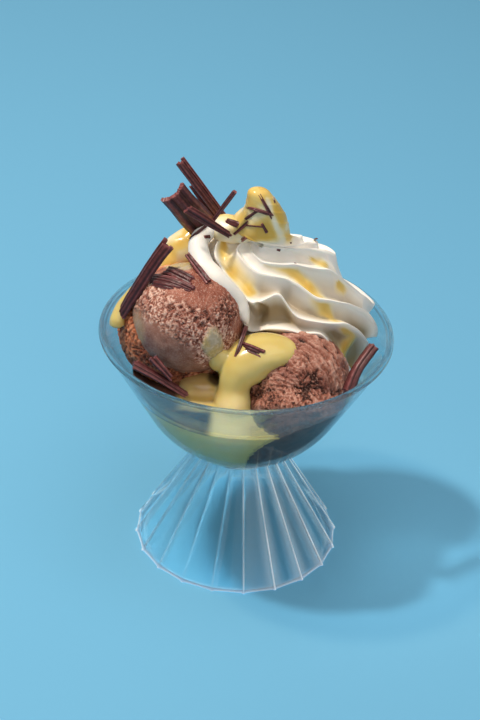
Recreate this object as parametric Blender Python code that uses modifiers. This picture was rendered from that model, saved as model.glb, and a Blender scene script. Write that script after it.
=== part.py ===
"""An ice cream sundae in a footed glass dish: three chocolate scoops, a pool and a pour of custard sauce,
a piped swirl of whipped cream, and curls and flakes of chocolate.

Sizes and places are in millimetres, and each mesh is turned to metres as it is made. The origin is on the
table, at the centre of the glass foot, with +X to the right, -Y to the front and +Z up.
"""

import itertools
import math

import bmesh
import bpy
import numpy as np

METRES_PER_MM = 0.001
GAP = 0.3  # between pieces that touch
GLASS_GAP = 0.5  # between the glass and what fills it
MERGE = 0.00005  # metres

# Glass dish
RIM_RADIUS = 65.0
DISH_HEIGHT = 112.5
GLASS_WALL = 2.4
BOWL_BALL_RADIUS = 50.0
BOWL_BALL_HEIGHT = 98.0
BOWL_FLARE = 0.55  # radius gained for each millimetre of height above the round bottom
FOOT_RADIUS = 46.7
FOOT_WALL = 3.0
NECK_RADIUS = 17.5
NECK_HEIGHT = 50.7
RIM_ROUNDING = 1.0
FLUTES = 20
FLUTE_DEPTH = 0.017  # of the radius
FLUTE_TURN = math.radians(6.4)
DISH_STEPS = 2 * FLUTES
POOL_STEPS = 24

# Scoops: centre and radius
LEFT_SCOOP = ((-26.0, 0.0, 116.0), 24.3)
BACK_SCOOP = ((-29.5, 9.0, 106.0), 28.0)
RIGHT_SCOOP = ((23.0, -9.0, 91.0), 24.3)
RIGHT_SCOOP_HEART = (24.0, -13.0, 84.0)
RIGHT_SCOOP_ROOT = ((25.0, -20.0, 74.0), (25.0, 34.0, 30.0))  # centre and half sizes of what lies below it
SMOOTH_RELIEF = 0.8
CRAGGY_RELIEF = 1.7
CRAG_SIZE = 7.0

# Custard
POOL_LEVEL = 89.0
POUR_EGGS = (  # centre and half sizes, from the lobe under the cream down to the pool
    ((10.0, -9.0, 112.0), (15.0, 9.5, 6.0)),
    ((1.0, -15.0, 106.5), (9.5, 8.0, 7.0)),
    ((-3.0, -22.0, 99.0), (6.5, 7.0, 9.0)),
    ((-4.5, -28.0, 89.0), (8.5, 8.5, 8.0)),
)
POUR_HEART = (0.0, -17.0, 104.5)
POUR_SOFTNESS = 1.2
DRIP_PATH = (
    ((-50.0, -1.5, 126.5), 1.4),
    ((-53.3, -3.0, 121.5), 1.5),
    ((-55.6, -3.5, 117.0), 1.8),
    ((-56.6, -3.5, 113.5), 2.9),
    ((-56.8, -3.4, 111.2), 0.8),
)

# Whipped cream: a cone of rings, each with its centre, half width, depth to the front, depth to the back
# and fall to the right. The rings are one ridge apart.
CREAM_RINGS = (
    (13.0, 16.5, 99.0, 34.0, 16.0, 28.0, -0.20),
    (12.5, 17.0, 112.0, 39.0, 19.0, 31.0, -0.20),
    (15.0, 19.0, 126.5, 42.0, 20.0, 32.0, -0.32),
    (15.5, 22.0, 137.0, 33.0, 15.0, 27.0, -0.30),
    (14.7, 23.0, 142.5, 23.5, 11.0, 20.0, -0.15),
    (11.0, 22.0, 145.0, 16.0, 7.5, 15.0, -0.05),
    (2.5, 23.0, 149.0, 16.0, 10.0, 12.0, -0.10),
    (5.0, 21.0, 158.0, 11.5, 9.0, 9.0, -0.15),
    (4.0, 19.0, 167.0, 7.0, 6.0, 6.0, -0.10),
    (0.6, 18.0, 173.5, 0.5, 0.5, 0.5, 0.00),
)
CREAM_ROOT = (18.0, 20.0, 90.0)  # the lowest point, under the swirl
CREAM_ROOT_RINGS = 3
CREAM_TURN = math.radians(-12)
RIDGE_DEPTH = 3.4
RIDGE_SHARPNESS = 0.8
PEAK_RING = 6  # the ridges fade out from here up
PEAK_RIDGE_SHARE = 0.2
RIDGES_PER_TURN = 4
ROWS_PER_RIDGE = 3
CREAM_COLUMNS = 38
CREAM_SHOULDER = ((-25.0, 21.0, 137.0), (10.5, 10.0, 9.5))

# Chocolate pieces: foot, head, the way that the broad side faces, width, thickness, arc in degrees, bend
CURLS = {
    "choc_stick_tall": ((-9.0, 34.0, 143.0), (-32.8, 34.0, 175.2), (0.3, -1, 0.3), 5.6, 1.6, 200, 0.6),
    "choc_sliver_back": ((-13.5, 39.0, 141.0), (-28.5, 39.0, 161.6), (0.2, -1, 0.2), 3.0, 1.2, 60, 0.5),
    "choc_fan": ((-12.5, 25.0, 144.0), (-35.5, 13.0, 171.0), (-0.2, -1, 0.7), 12.5, 1.6, 120, 1.0),
    "choc_stick_ribbed": ((-4.5, 16.0, 145.5), (-28.0, 9.0, 165.5), (0.4, -1, 0.7), 5.4, 1.8, 90, 0.5),
    "choc_stick_thin": ((-17.6, 16.4, 155.6), (-8.6, 14.4, 171.6), (0, -1, 0.4), 2.6, 1.8, 40, 0.0),
    "choc_curl_left": ((-59.9, 3.7, 116.3), (-37.2, 0.5, 153.2), (-0.8, -0.9, 0.6), 8.0, 1.8, 130, 1.5),
    "choc_curl_rim": ((-23.0, -25.0, 94.5), (-47.0, -25.0, 107.5), (0.1, -0.6, 1.0), 8.0, 1.6, 100, 0.8),
    "choc_flap_rim": ((-31.5, -28.5, 102.8), (-40.2, -25.2, 109.8), (0.3, -1, 0.8), 5.0, 1.3, 50, 0.3),
    "choc_curl_right": ((44.9, -23.5, 100.2), (56.2, -5.0, 111.9), (-0.5, -0.6, 0.9), 5.4, 1.6, 120, 0.8),
    "choc_flake_side": ((-18.8, 2.2, 141.6), (-27.5, 7.6, 147.6), (-0.1, -0.7, 1), 3.4, 1.2, 40, 0.3),
    "choc_flake_top_low": ((-21.5, -13.0, 140.2), (-41.0, -14.0, 137.6), (-0.15, -0.6, 1), 4.2, 1.2, 60, 0.6),
    "choc_flake_top_high": ((-24.5, -6.0, 143.4), (-38.5, -3.5, 142.6), (-0.15, -0.4, 1), 4.6, 1.2, 60, 0.6),
    "choc_flake_pour_long": ((-4.7, -17.6, 114.4), (-1.5, -10.2, 118.6), (0, -0.6, 1), 2.6, 1.2, 30, 0.0),
    "choc_flake_pour_wide": ((8.8, -15.2, 118.9), (0.0, -13.2, 119.9), (0, -0.5, 1), 4.2, 1.2, 50, 0.2),
}
IN_THE_CREAM = (
    "choc_stick_tall",
    "choc_sliver_back",
    "choc_fan",
    "choc_stick_ribbed",
    "choc_stick_thin",
    "choc_curl_right",
    "choc_flake_side",
)
CURL_RINGS = 4
CURL_COLUMNS = 5
RIB_HEIGHT = 0.35

# Shards lying on the peak: their two ends
SHARDS = (
    ((2.2, 15.6, 171.4), (8.9, 12.7, 161.7)),
    ((-2.9, 15.9, 164.1), (8.8, 12.0, 162.7)),
    ((-4.1, 16.6, 156.8), (2.7, 13.3, 164.1)),
    ((-7.7, 15.4, 149.6), (-1.6, 15.4, 156.8)),
    ((-2.4, 15.2, 154.1), (4.9, 11.8, 156.6)),
    ((4.8, 12.0, 157.7), (6.9, 12.2, 153.7)),
    ((-11.8, 24.5, 151.3), (-5.4, 16.5, 153.4)),
)
SHARD_WIDTH = 1.6
SHARD_THICKNESS = 1.3


def material(name, colour, roughness, transmission=0.0):
    made = bpy.data.materials.new(name)
    made.use_nodes = True
    shader = made.node_tree.nodes["Principled BSDF"]
    shader.inputs["Base Color"].default_value = (*colour, 1)
    shader.inputs["Roughness"].default_value = roughness
    shader.inputs["Transmission Weight"].default_value = transmission
    made.diffuse_color = (*colour, 1)
    return made


def collection(name):
    made = bpy.data.collections.new(name)
    bpy.context.scene.collection.children.link(made)
    return made


def new_object(name, mesh, home, finish=None, sharp_angle=40):
    made = bpy.data.objects.new(name, mesh)
    home.objects.link(made)
    if finish:
        mesh.materials.append(finish)
    mesh.shade_smooth()
    mesh.set_sharp_from_angle(angle=math.radians(sharp_angle))
    return made


def as_cutter(obj):
    obj.hide_render = True
    obj.display_type = "WIRE"
    return obj


def mesh_from(bm, name):
    mesh = bpy.data.meshes.new(name)
    bm.to_mesh(mesh)
    bm.free()
    return mesh


def apply_modifiers(obj):
    """Keeps what the modifiers make, and removes them."""
    graph = bpy.context.evaluated_depsgraph_get()
    finished = bpy.data.meshes.new_from_object(obj.evaluated_get(graph))
    obj.modifiers.clear()
    obj.data = finished


def boolean(obj, operation, others):
    """Cuts or joins these objects one after another, and applies each step."""
    for other in others:
        modifier = obj.modifiers.new(operation.title(), "BOOLEAN")
        modifier.operation = operation
        modifier.solver = "EXACT"
        modifier.object = other
        apply_modifiers(obj)


def union_of(obj, helpers):
    """Joins a whole collection to the object in one Boolean, then removes the collection's objects."""
    modifier = obj.modifiers.new("Union", "BOOLEAN")
    modifier.operation = "UNION"
    modifier.operand_type = "COLLECTION"
    modifier.solver = "EXACT"
    modifier.collection = helpers
    apply_modifiers(obj)
    for helper in list(helpers.objects):
        bpy.data.objects.remove(helper)
    bpy.data.collections.remove(helpers)


def drop_scraps(obj):
    """Keeps the largest of the separate bodies that a cut has left."""
    bm = bmesh.new()
    bm.from_mesh(obj.data)
    waiting = set(bm.verts)
    bodies = []
    while waiting:
        body = set()
        edge_of_search = [waiting.pop()]
        while edge_of_search:
            vert = edge_of_search.pop()
            body.add(vert)
            near = {edge.other_vert(vert) for edge in vert.link_edges} & waiting
            waiting -= near
            edge_of_search.extend(near)
        bodies.append(body)
    largest = max(bodies, key=len)
    bmesh.ops.delete(bm, geom=[vert for vert in bm.verts if vert not in largest], context="VERTS")
    bm.to_mesh(obj.data)
    bm.free()


def points_of(mesh):
    points = np.empty(len(mesh.vertices) * 3)
    mesh.vertices.foreach_get("co", points)
    return points.reshape(-1, 3)


def set_points(mesh, points):
    mesh.vertices.foreach_set("co", points.ravel())
    mesh.update()


def relief(points, cell, seed):
    """Smooth noise from -1 to 1: random values on a grid of this cell size, blended between its corners."""
    values = np.random.default_rng(seed).uniform(-1, 1, 4096)
    low = np.floor(points / cell).astype(int)
    part = points / cell - low
    part = part * part * (3 - 2 * part)
    total = np.zeros(len(points))
    for corner in itertools.product((0, 1), repeat=3):
        x, y, z = (low + corner).T
        weight = np.prod(np.where(corner, part, 1 - part), axis=1)
        total += weight * values[(x * 73 + y * 1237 + z * 3571) % 4096]
    return total


def bowl_radius(height, inset=0.0):
    """The bowl's radius at this height, this far inside its outer face: a ball and a cone that touches it."""
    ball = BOWL_BALL_RADIUS - inset
    slant = math.hypot(1, BOWL_FLARE)
    touch_height = BOWL_BALL_HEIGHT - ball * BOWL_FLARE / slant
    cone = ball / slant + BOWL_FLARE * (height - touch_height)
    round_part = np.sqrt(np.maximum(ball**2 - (height - BOWL_BALL_HEIGHT) ** 2, 0))
    return np.where(height > touch_height, cone, round_part)


def ball(points, centre, radius):
    """How far each point lies inside a ball."""
    return radius - np.linalg.norm(points - np.array(centre), axis=1)


def egg(points, centre, half_sizes):
    """About how far each point lies inside an egg with these half sizes."""
    return (1 - np.linalg.norm((points - np.array(centre)) / half_sizes, axis=1)) * min(half_sizes)


def pour_form(points):
    """The eggs of the pour, run together into one stream."""
    depths = np.array([egg(points, *sizes) for sizes in POUR_EGGS])
    return POUR_SOFTNESS * np.log(np.exp(np.clip(depths / POUR_SOFTNESS, -60, 60)).sum(axis=0))


def bowl_room(points):
    """How far each point lies inside the room that the glass leaves."""
    inner = bowl_radius(points[:, 2], GLASS_WALL + GLASS_GAP)
    return np.where(points[:, 2] > DISH_HEIGHT, 1.0, inner - np.hypot(points[:, 0], points[:, 1]))


def reach(heart, directions, depth):
    """The distance from the heart along each direction to the first place where depth falls below zero."""
    step = 0.5
    near = np.zeros(len(directions))
    inside = np.ones(len(directions), bool)
    for distance in np.arange(step, 75, step):
        inside &= depth(np.array(heart) + directions * distance) > 0
        near[inside] = distance
    far = near + step
    for _ in range(12):
        middle = (near + far) / 2
        within = depth(np.array(heart) + directions * middle[:, None]) > 0
        near = np.where(within, middle, near)
        far = np.where(within, far, middle)
    return near


def lump(name, heart, depth, home, finish=None, segments=40, rings=26):
    """A ball primitive whose points are moved out from the heart to the edge of the form."""
    bm = bmesh.new()
    bmesh.ops.create_uvsphere(bm, u_segments=segments, v_segments=rings, radius=1)
    bmesh.ops.triangulate(bm, faces=bm.faces[:])
    mesh = mesh_from(bm, name)
    directions = points_of(mesh)
    directions /= np.linalg.norm(directions, axis=1)[:, None]
    distances = reach(heart, directions, depth)
    set_points(mesh, (np.array(heart) + directions * distances[:, None]) * METRES_PER_MM)
    return new_object(name, mesh, home, finish, sharp_angle=60)


def left_scoop_form(points):
    return ball(points, *LEFT_SCOOP) + SMOOTH_RELIEF * relief(points, CRAG_SIZE, 1)


def back_scoop_form(points):
    return ball(points, *BACK_SCOOP) + SMOOTH_RELIEF * relief(points, CRAG_SIZE, 2)


def right_scoop_form(points):
    whole = np.maximum(ball(points, *RIGHT_SCOOP), egg(points, *RIGHT_SCOOP_ROOT))
    return whole + CRAGGY_RELIEF * relief(points, CRAG_SIZE, 3)


def back_scoop_fitted(points):
    return np.minimum(back_scoop_form(points), bowl_room(points))


def right_scoop_fitted(points):
    return np.minimum(right_scoop_form(points), bowl_room(points))


def make_scoops(home, cutters, finish):
    """Each scoop fitted to the glass, and a larger one of its whole form to cut a gap round it. The back scoop,
    which is made last, is cut round the left one that lies on it."""
    scoops = (
        ("scoop_left", LEFT_SCOOP[0], left_scoop_form, left_scoop_form, 34, 20),
        ("scoop_right", RIGHT_SCOOP_HEART, right_scoop_fitted, right_scoop_form, 34, 20),
        ("scoop_back", BACK_SCOOP[0], back_scoop_fitted, back_scoop_form, 26, 16),
    )
    grown = []
    for name, heart, fitted, form, segments, rings in scoops:
        scoop = lump(name, heart, fitted, home, finish, segments, rings)
        larger = lump(name + "_with_gap", heart, lambda p, f=form: f(p) + GAP, cutters, None, segments, rings)
        grown.append(as_cutter(larger))
    left_with_gap = grown[0]
    boolean(scoop, "DIFFERENCE", [left_with_gap])
    drop_scraps(scoop)
    return grown


def turned(name, profile, home, finish=None, steps=DISH_STEPS):
    """A profile of (radius, height) points that ends down the outer side, turned round the upright axis."""
    bm = bmesh.new()
    points = [bm.verts.new((radius, 0, height)) for radius, height in np.array(profile) * METRES_PER_MM]
    for first, second in itertools.pairwise(points):
        bm.edges.new((first, second))
    made = new_object(name, mesh_from(bm, name), home, finish)
    screw = made.modifiers.new("Screw", "SCREW")
    screw.steps = screw.render_steps = steps
    screw.use_merge_vertices = True
    screw.merge_threshold = MERGE
    apply_modifiers(made)
    return made


def bowl_outline(inset, bottom_to_top, top):
    """Points of the bowl's face from the axis to this height."""
    bottom = BOWL_BALL_HEIGHT - BOWL_BALL_RADIUS + inset
    angles = np.linspace(0, math.acos(BOWL_FLARE / math.hypot(1, BOWL_FLARE)), bottom_to_top)
    reached = BOWL_BALL_RADIUS - inset
    round_part = [(reached * math.sin(a), BOWL_BALL_HEIGHT - reached * math.cos(a)) for a in angles]
    round_part[0] = (0.0, bottom)
    return round_part + [(float(bowl_radius(top, inset)), top)]


def make_dish(home, finish):
    """The bowl and its hollow, fluted foot, turned as one piece; the flutes are then pressed into the foot."""
    inside = bowl_outline(GLASS_WALL, 8, DISH_HEIGHT - RIM_ROUNDING * 1.5)
    rim = [
        (RIM_RADIUS - GLASS_WALL + 0.4, DISH_HEIGHT - 0.3),
        (RIM_RADIUS - RIM_ROUNDING, DISH_HEIGHT),
        (RIM_RADIUS, DISH_HEIGHT - 0.9),
    ]
    whole_outside = bowl_outline(0, 7, DISH_HEIGHT - RIM_ROUNDING * 2)
    outside = [point for point in whole_outside if point[0] > NECK_RADIUS + 2]
    wall_across = FOOT_WALL * 1.15  # the slanting foot wall measured level
    shoulder = (NECK_RADIUS + 1.8, NECK_HEIGHT - 4)
    foot_outside = [(NECK_RADIUS + 0.6, NECK_HEIGHT - 0.4), shoulder, (FOOT_RADIUS, 0)]
    foot_inside = [
        (FOOT_RADIUS - wall_across, 0),
        (shoulder[0] - wall_across, shoulder[1]),
        (NECK_RADIUS - FOOT_WALL * 2.2, NECK_HEIGHT - 5.5),
        (0, NECK_HEIGHT - 6),
    ]
    dish = turned("glass_dish", inside + rim + outside[::-1] + foot_outside + foot_inside, home, finish)
    points = points_of(dish.data) / METRES_PER_MM
    radius = np.hypot(points[:, 0], points[:, 1])
    angle = np.arctan2(points[:, 1], points[:, 0])
    middle_of_wall = FOOT_RADIUS - FOOT_WALL / 2 - (FOOT_RADIUS - NECK_RADIUS) / NECK_HEIGHT * points[:, 2]
    on_foot = (points[:, 2] < NECK_HEIGHT - 2) & (radius > middle_of_wall)
    radius *= 1 - np.where(on_foot, FLUTE_DEPTH * np.abs(np.sin(FLUTES / 2 * angle)), 0)
    points[:, 0] = radius * np.cos(angle + FLUTE_TURN)
    points[:, 1] = radius * np.sin(angle + FLUTE_TURN)
    set_points(dish.data, points * METRES_PER_MM)


def tube(name, path, home, finish=None):
    """A round stream through these centres, with its own radius at each."""
    curve = bpy.data.curves.new(name, "CURVE")
    curve.dimensions = "3D"
    curve.bevel_depth = METRES_PER_MM
    curve.bevel_resolution = 3
    curve.use_fill_caps = True
    curve.resolution_u = 3
    spline = curve.splines.new("BEZIER")
    spline.bezier_points.add(len(path) - 1)
    for point, (centre, radius) in zip(spline.bezier_points, path):
        point.co = np.array(centre) * METRES_PER_MM
        point.radius = radius
        point.handle_left_type = point.handle_right_type = "AUTO"
    guide = bpy.data.objects.new(name + "_curve", curve)
    home.objects.link(guide)
    graph = bpy.context.evaluated_depsgraph_get()
    mesh = bpy.data.meshes.new_from_object(guide.evaluated_get(graph))
    bpy.data.objects.remove(guide)
    bm = bmesh.new()
    bm.from_mesh(mesh)
    bmesh.ops.remove_doubles(bm, verts=bm.verts, dist=MERGE)
    bmesh.ops.recalc_face_normals(bm, faces=bm.faces)
    bm.to_mesh(mesh)
    bm.free()
    return new_object(name, mesh, home, finish)


def make_custard(home, finish, scoops_with_gap, cream_with_gap):
    """The pool in the bowl with the pour that runs into it, cut round the scoops and the cream."""
    pool_profile = bowl_outline(GLASS_WALL + GLASS_GAP, 8, POOL_LEVEL) + [(0, POOL_LEVEL)]
    pool = turned("custard_sauce", pool_profile, home, finish, steps=POOL_STEPS)
    pour = collection("pour")
    lump("stream", POUR_HEART, pour_form, pour, None, 28, 18)
    union_of(pool, pour)
    boolean(pool, "DIFFERENCE", [*scoops_with_gap, cream_with_gap])
    drop_scraps(pool)
    drip = tube("custard_drip", DRIP_PATH, home, finish)
    boolean(drip, "DIFFERENCE", scoops_with_gap)
    drop_scraps(drip)


def blended_rings(phase):
    """The ring table read at any phase, smoothly: a cubic through neighbouring rows."""
    table = np.array(CREAM_RINGS)
    slopes = np.gradient(table, axis=0)
    low = np.clip(np.floor(phase).astype(int), 0, len(table) - 2)
    t = (np.clip(phase, 0, len(table) - 1) - low)[:, None]
    first, second = table[low], table[low + 1]
    return (
        first * (2 * t**3 - 3 * t**2 + 1)
        + slopes[low] * (t**3 - 2 * t**2 + t)
        + second * (3 * t**2 - 2 * t**3)
        + slopes[low + 1] * (t**3 - t**2)
    )


def cream_surface(phase, angle, grow=0.0):
    """Points of the swirl. Phase runs from 0 at the hem to the last ring at the tip, and the angle goes
    clockwise from the right, so that a ridge climbs RIDGES_PER_TURN rings each time it goes round."""
    centre_x, centre_y, centre_z, width, front, back, fall = blended_rings(phase).T
    last = len(CREAM_RINGS) - 1
    ridges_passed = phase - RIDGES_PER_TURN * angle / math.tau
    groove = RIDGE_DEPTH * np.abs(np.sin(np.pi * ridges_passed)) ** RIDGE_SHARPNESS
    groove *= np.interp(phase, (PEAK_RING - 1, PEAK_RING + 0.5, last), (1, PEAK_RIDGE_SHARE, 0))
    half_width = np.maximum(width - groove + grow, 0.2)
    half_depth = np.maximum(np.where(np.sin(angle) > 0, front, back) - groove * 0.8 + grow, 0.2)
    along = half_width * np.cos(angle)
    across = -half_depth * np.sin(angle)
    x = centre_x + along * math.cos(CREAM_TURN) - across * math.sin(CREAM_TURN)
    y = centre_y + along * math.sin(CREAM_TURN) + across * math.cos(CREAM_TURN)
    return np.stack([x, y, centre_z + fall * along], axis=1)


def kept_in_bowl(points, grow):
    """Pulls what would pass through the glass wall back inside it."""
    inner = bowl_radius(points[:, 2], GLASS_WALL + GLASS_GAP - grow)
    radius = np.hypot(points[:, 0], points[:, 1])
    too_far = (points[:, 2] < DISH_HEIGHT + 0.5) & (radius > inner)
    points[:, :2] *= np.where(too_far, inner / radius, 1)[:, None]
    return points


def cream_mesh(name, grow=0.0):
    """A grid whose rows follow the ridges round the swirl. Rows that run past the hem or the tip are held
    there and merge, and plain rings close the underside down to the root."""
    rows = np.arange(-RIDGES_PER_TURN * ROWS_PER_RIDGE, (len(CREAM_RINGS) - 1) * ROWS_PER_RIDGE + 1)
    columns = np.arange(CREAM_COLUMNS)
    angle = np.tile(columns * math.tau / CREAM_COLUMNS, len(rows))
    phase = np.repeat(rows / ROWS_PER_RIDGE, CREAM_COLUMNS) + RIDGES_PER_TURN * angle / math.tau
    points = cream_surface(np.clip(phase, 0, len(CREAM_RINGS) - 1), angle, grow)
    hem = cream_surface(np.zeros(CREAM_COLUMNS), angle[:CREAM_COLUMNS], grow)
    root = np.array(CREAM_ROOT)
    under = []
    for ring in range(1, CREAM_ROOT_RINGS + 1):
        share = math.cos(math.pi / 2 * ring / (CREAM_ROOT_RINGS + 0.6))
        drop = math.sin(math.pi / 2 * ring / CREAM_ROOT_RINGS)
        level = hem * share + root * (1 - share)
        level[:, 2] = hem[:, 2] + (root[2] - hem[:, 2]) * drop
        under.append(level)
    points = kept_in_bowl(np.concatenate([points, *under]), grow) * METRES_PER_MM
    bm = bmesh.new()
    verts = [bm.verts.new(point) for point in points]
    grid = [verts[i : i + CREAM_COLUMNS] for i in range(0, len(verts), CREAM_COLUMNS)]
    swirl, closing = grid[: len(rows)], grid[len(rows) :]
    shift = RIDGES_PER_TURN * ROWS_PER_RIDGE
    for row, column in itertools.product(range(len(rows) - 1), range(CREAM_COLUMNS)):
        after = (column + 1) % CREAM_COLUMNS
        row_after = row if after else row + shift
        if row_after + 1 < len(rows):
            near, far = swirl[row], swirl[row + 1]
            bm.faces.new((near[column], swirl[row_after][after], swirl[row_after + 1][after], far[column]))
    hem_row = [bm.verts.new(point) for point in hem * METRES_PER_MM]
    for upper, lower in itertools.pairwise([hem_row, *closing]):
        for column in columns:
            after = (column + 1) % CREAM_COLUMNS
            bm.faces.new((upper[column], lower[column], lower[after], upper[after]))
    bm.faces.new(closing[-1][::-1])
    bmesh.ops.remove_doubles(bm, verts=bm.verts, dist=MERGE)
    bmesh.ops.dissolve_degenerate(bm, edges=bm.edges, dist=MERGE)
    bmesh.ops.holes_fill(bm, edges=bm.edges, sides=0)
    bmesh.ops.triangulate(bm, faces=bm.faces[:])
    bmesh.ops.recalc_face_normals(bm, faces=bm.faces)
    return mesh_from(bm, name)


def shard(name, start, end, home):
    """A flat bar between these ends, with its broad side to the front."""
    start, end = np.array(start), np.array(end)
    along = (end - start) / np.linalg.norm(end - start)
    side = np.cross(along, (0, 1, 0))
    side /= np.linalg.norm(side)
    axes = np.array([end - start, side * SHARD_WIDTH, np.cross(side, along) * SHARD_THICKNESS])
    bm = bmesh.new()
    bmesh.ops.create_cube(bm, size=1)
    made = new_object(name, mesh_from(bm, name), home)
    set_points(made.data, (points_of(made.data) @ axes + (start + end) / 2) * METRES_PER_MM)


def make_cream(home, finish, scoops_with_gap, curls_with_gap):
    """The swirl with its shoulder and shards joined on, cut round the scoops and the chocolate in it."""
    cream = new_object("whipped_cream", cream_mesh("whipped_cream"), home, finish)
    extras = collection("on_cream")
    for number, ends in enumerate(SHARDS, 1):
        shard(f"shard_{number}", *ends, extras)
    lump("shoulder", CREAM_SHOULDER[0], lambda points: egg(points, *CREAM_SHOULDER), extras, None, 16, 10)
    union_of(cream, extras)
    boolean(cream, "DIFFERENCE", [*scoops_with_gap, *curls_with_gap])
    drop_scraps(cream)


def curl_mesh(name, foot, head, facing, width, thickness, arc, bend, grow=0.0):
    """A ribbed shaving: a curved section carried from foot to head, bowed towards the side that it faces."""
    foot, head = np.array(foot), np.array(head)
    along = (head - foot) / np.linalg.norm(head - foot)
    side = np.cross(facing, along)
    side /= np.linalg.norm(side)
    face = np.cross(along, side)
    arc = math.radians(arc)
    curve_radius = width / 2 / math.sin(min(arc, math.pi) / 2)
    angles = np.linspace(-arc / 2, arc / 2, CURL_COLUMNS + 1)
    ribs = RIB_HEIGHT * (np.arange(CURL_COLUMNS + 1) % 2)
    rings = []
    for share in np.linspace(0, 1, CURL_RINGS):
        centre = foot + (head - foot) * share + along * grow * (2 * share - 1)
        centre = centre + face * bend * (1 - (2 * share - 1) ** 2)
        spread = angles * (1 + grow / width * 2)
        across = np.outer(np.sin(spread), side) + np.outer(np.cos(spread), face)
        middle = centre - face * curve_radius
        rim = middle + across * (curve_radius + ribs + grow)[:, None]
        core = middle + across * (curve_radius - thickness - grow)
        rings.append([*rim, *core[::-1]])
    bm = bmesh.new()
    verts = [[bm.verts.new(point * METRES_PER_MM) for point in ring] for ring in rings]
    count = len(verts[0])
    for lower, upper in itertools.pairwise(verts):
        for i in range(count):
            bm.faces.new((lower[i], lower[(i + 1) % count], upper[(i + 1) % count], upper[i]))
    for end in (verts[0], verts[-1]):
        for i in range(CURL_COLUMNS):
            bm.faces.new((end[i], end[i + 1], end[count - 2 - i], end[count - 1 - i]))
    bmesh.ops.triangulate(bm, faces=bm.faces[:])
    bmesh.ops.recalc_face_normals(bm, faces=bm.faces)
    return mesh_from(bm, name)


def make_curls(home, cutters, finish):
    grown = []
    for name, sizes in CURLS.items():
        new_object(name, curl_mesh(name, *sizes), home, finish)
        if name in IN_THE_CREAM:
            larger = new_object(name + "_with_gap", curl_mesh(name, *sizes, grow=GAP), cutters)
            grown.append(as_cutter(larger))
    return grown


def main():
    for obj in list(bpy.data.objects):
        bpy.data.objects.remove(obj)
    home = collection("ice_cream_sundae")
    cutters = collection("cutters")
    glass = material("clear_glass", (0.86, 0.93, 0.95), 0.05, transmission=1.0)
    ice_cream = material("chocolate_ice_cream", (0.19, 0.09, 0.065), 0.75)
    custard = material("custard", (0.72, 0.58, 0.16), 0.25)
    cream = material("whipped_cream", (0.85, 0.82, 0.76), 0.5)
    chocolate = material("dark_chocolate", (0.06, 0.02, 0.02), 0.4)
    make_dish(home, glass)
    scoops_with_gap = make_scoops(home, cutters, ice_cream)
    curls_with_gap = make_curls(home, cutters, chocolate)
    cream_with_gap = as_cutter(new_object("cream_with_gap", cream_mesh("cream_with_gap", GAP), cutters))
    make_custard(home, custard, scoops_with_gap, cream_with_gap)
    make_cream(home, cream, scoops_with_gap, curls_with_gap)


main()
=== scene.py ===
import math

import bmesh
import bpy
import numpy as np
from mathutils import Matrix, Vector
from mathutils.bvhtree import BVHTree


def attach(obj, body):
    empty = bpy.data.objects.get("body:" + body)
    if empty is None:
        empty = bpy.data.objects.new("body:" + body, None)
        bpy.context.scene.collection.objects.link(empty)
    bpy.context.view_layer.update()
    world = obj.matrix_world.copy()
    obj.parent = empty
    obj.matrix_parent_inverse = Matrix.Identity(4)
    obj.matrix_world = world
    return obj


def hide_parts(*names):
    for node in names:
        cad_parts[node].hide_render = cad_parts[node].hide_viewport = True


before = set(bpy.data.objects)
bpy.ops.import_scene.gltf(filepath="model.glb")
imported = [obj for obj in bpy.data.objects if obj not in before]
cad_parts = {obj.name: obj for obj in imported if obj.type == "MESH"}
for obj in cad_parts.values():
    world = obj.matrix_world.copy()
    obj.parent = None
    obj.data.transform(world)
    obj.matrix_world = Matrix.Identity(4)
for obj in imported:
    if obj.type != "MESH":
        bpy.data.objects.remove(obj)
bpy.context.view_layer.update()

bl_info = {
    "name": "Ice Cream Sundae",
    "version": (1, 0, 0),
    "blender": (4, 5, 0),
    "location": "View3D > Sidebar > Sundae",
    "description": "Dresses a sundae in a footed glass dish: scoops, custard, whipped cream and chocolate",
    "category": "Object",
}

# Sizes are in millimetres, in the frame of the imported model: X to the right, -Y to the front, Z up.
MM = 0.001

# Glass dish
RIM_RADIUS = 65.0
DISH_HEIGHT = 112.5
GLASS_WALL = 2.4
BALL_RADIUS = 50.0
BALL_HEIGHT = 98.0
FLARE = 0.55
FOOT_RADIUS = 46.7
FOOT_WALL = 3.0
NECK_RADIUS = 17.5
NECK_HEIGHT = 50.7
FLUTES = 20
FLUTE_DEPTH = 0.017
FLUTE_TURN = math.radians(6.4)
INTO_WALL = 0.25  # how far the contents reach into the glass, so that they are seen to touch it
FARTHEST = 75.0  # more than any form reaches from its heart

# Scoops: centre and radius
LEFT_SCOOP = ((-26.0, 0.0, 116.0), 24.3)
BACK_SCOOP = ((-29.5, 9.0, 106.0), 28.0)
RIGHT_SCOOP = ((23.0, -9.0, 91.0), 24.3)
RIGHT_HEART = (24.0, -13.0, 84.0)
RIGHT_ROOT = ((24.0, -20.0, 74.0), (25.5, 34.0, 30.0))

# Custard
POOL_LEVEL = 89.0
POUR_EGGS = (  # centre and half sizes, from the lobe under the cream down to the pool
    ((9.2, -14.0, 110.3), (14.6, 10.5, 6.6)),
    ((1.5, -18.5, 104.5), (10.5, 8.5, 7.5)),
    ((-4.2, -22.0, 98.5), (6.4, 7.2, 9.5)),
    ((-4.2, -26.0, 89.5), (7.8, 8.5, 7.5)),
)
POUR_HEART = (-2.5, -18.5, 102.5)
POUR_SOFTNESS = 1.6
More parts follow.
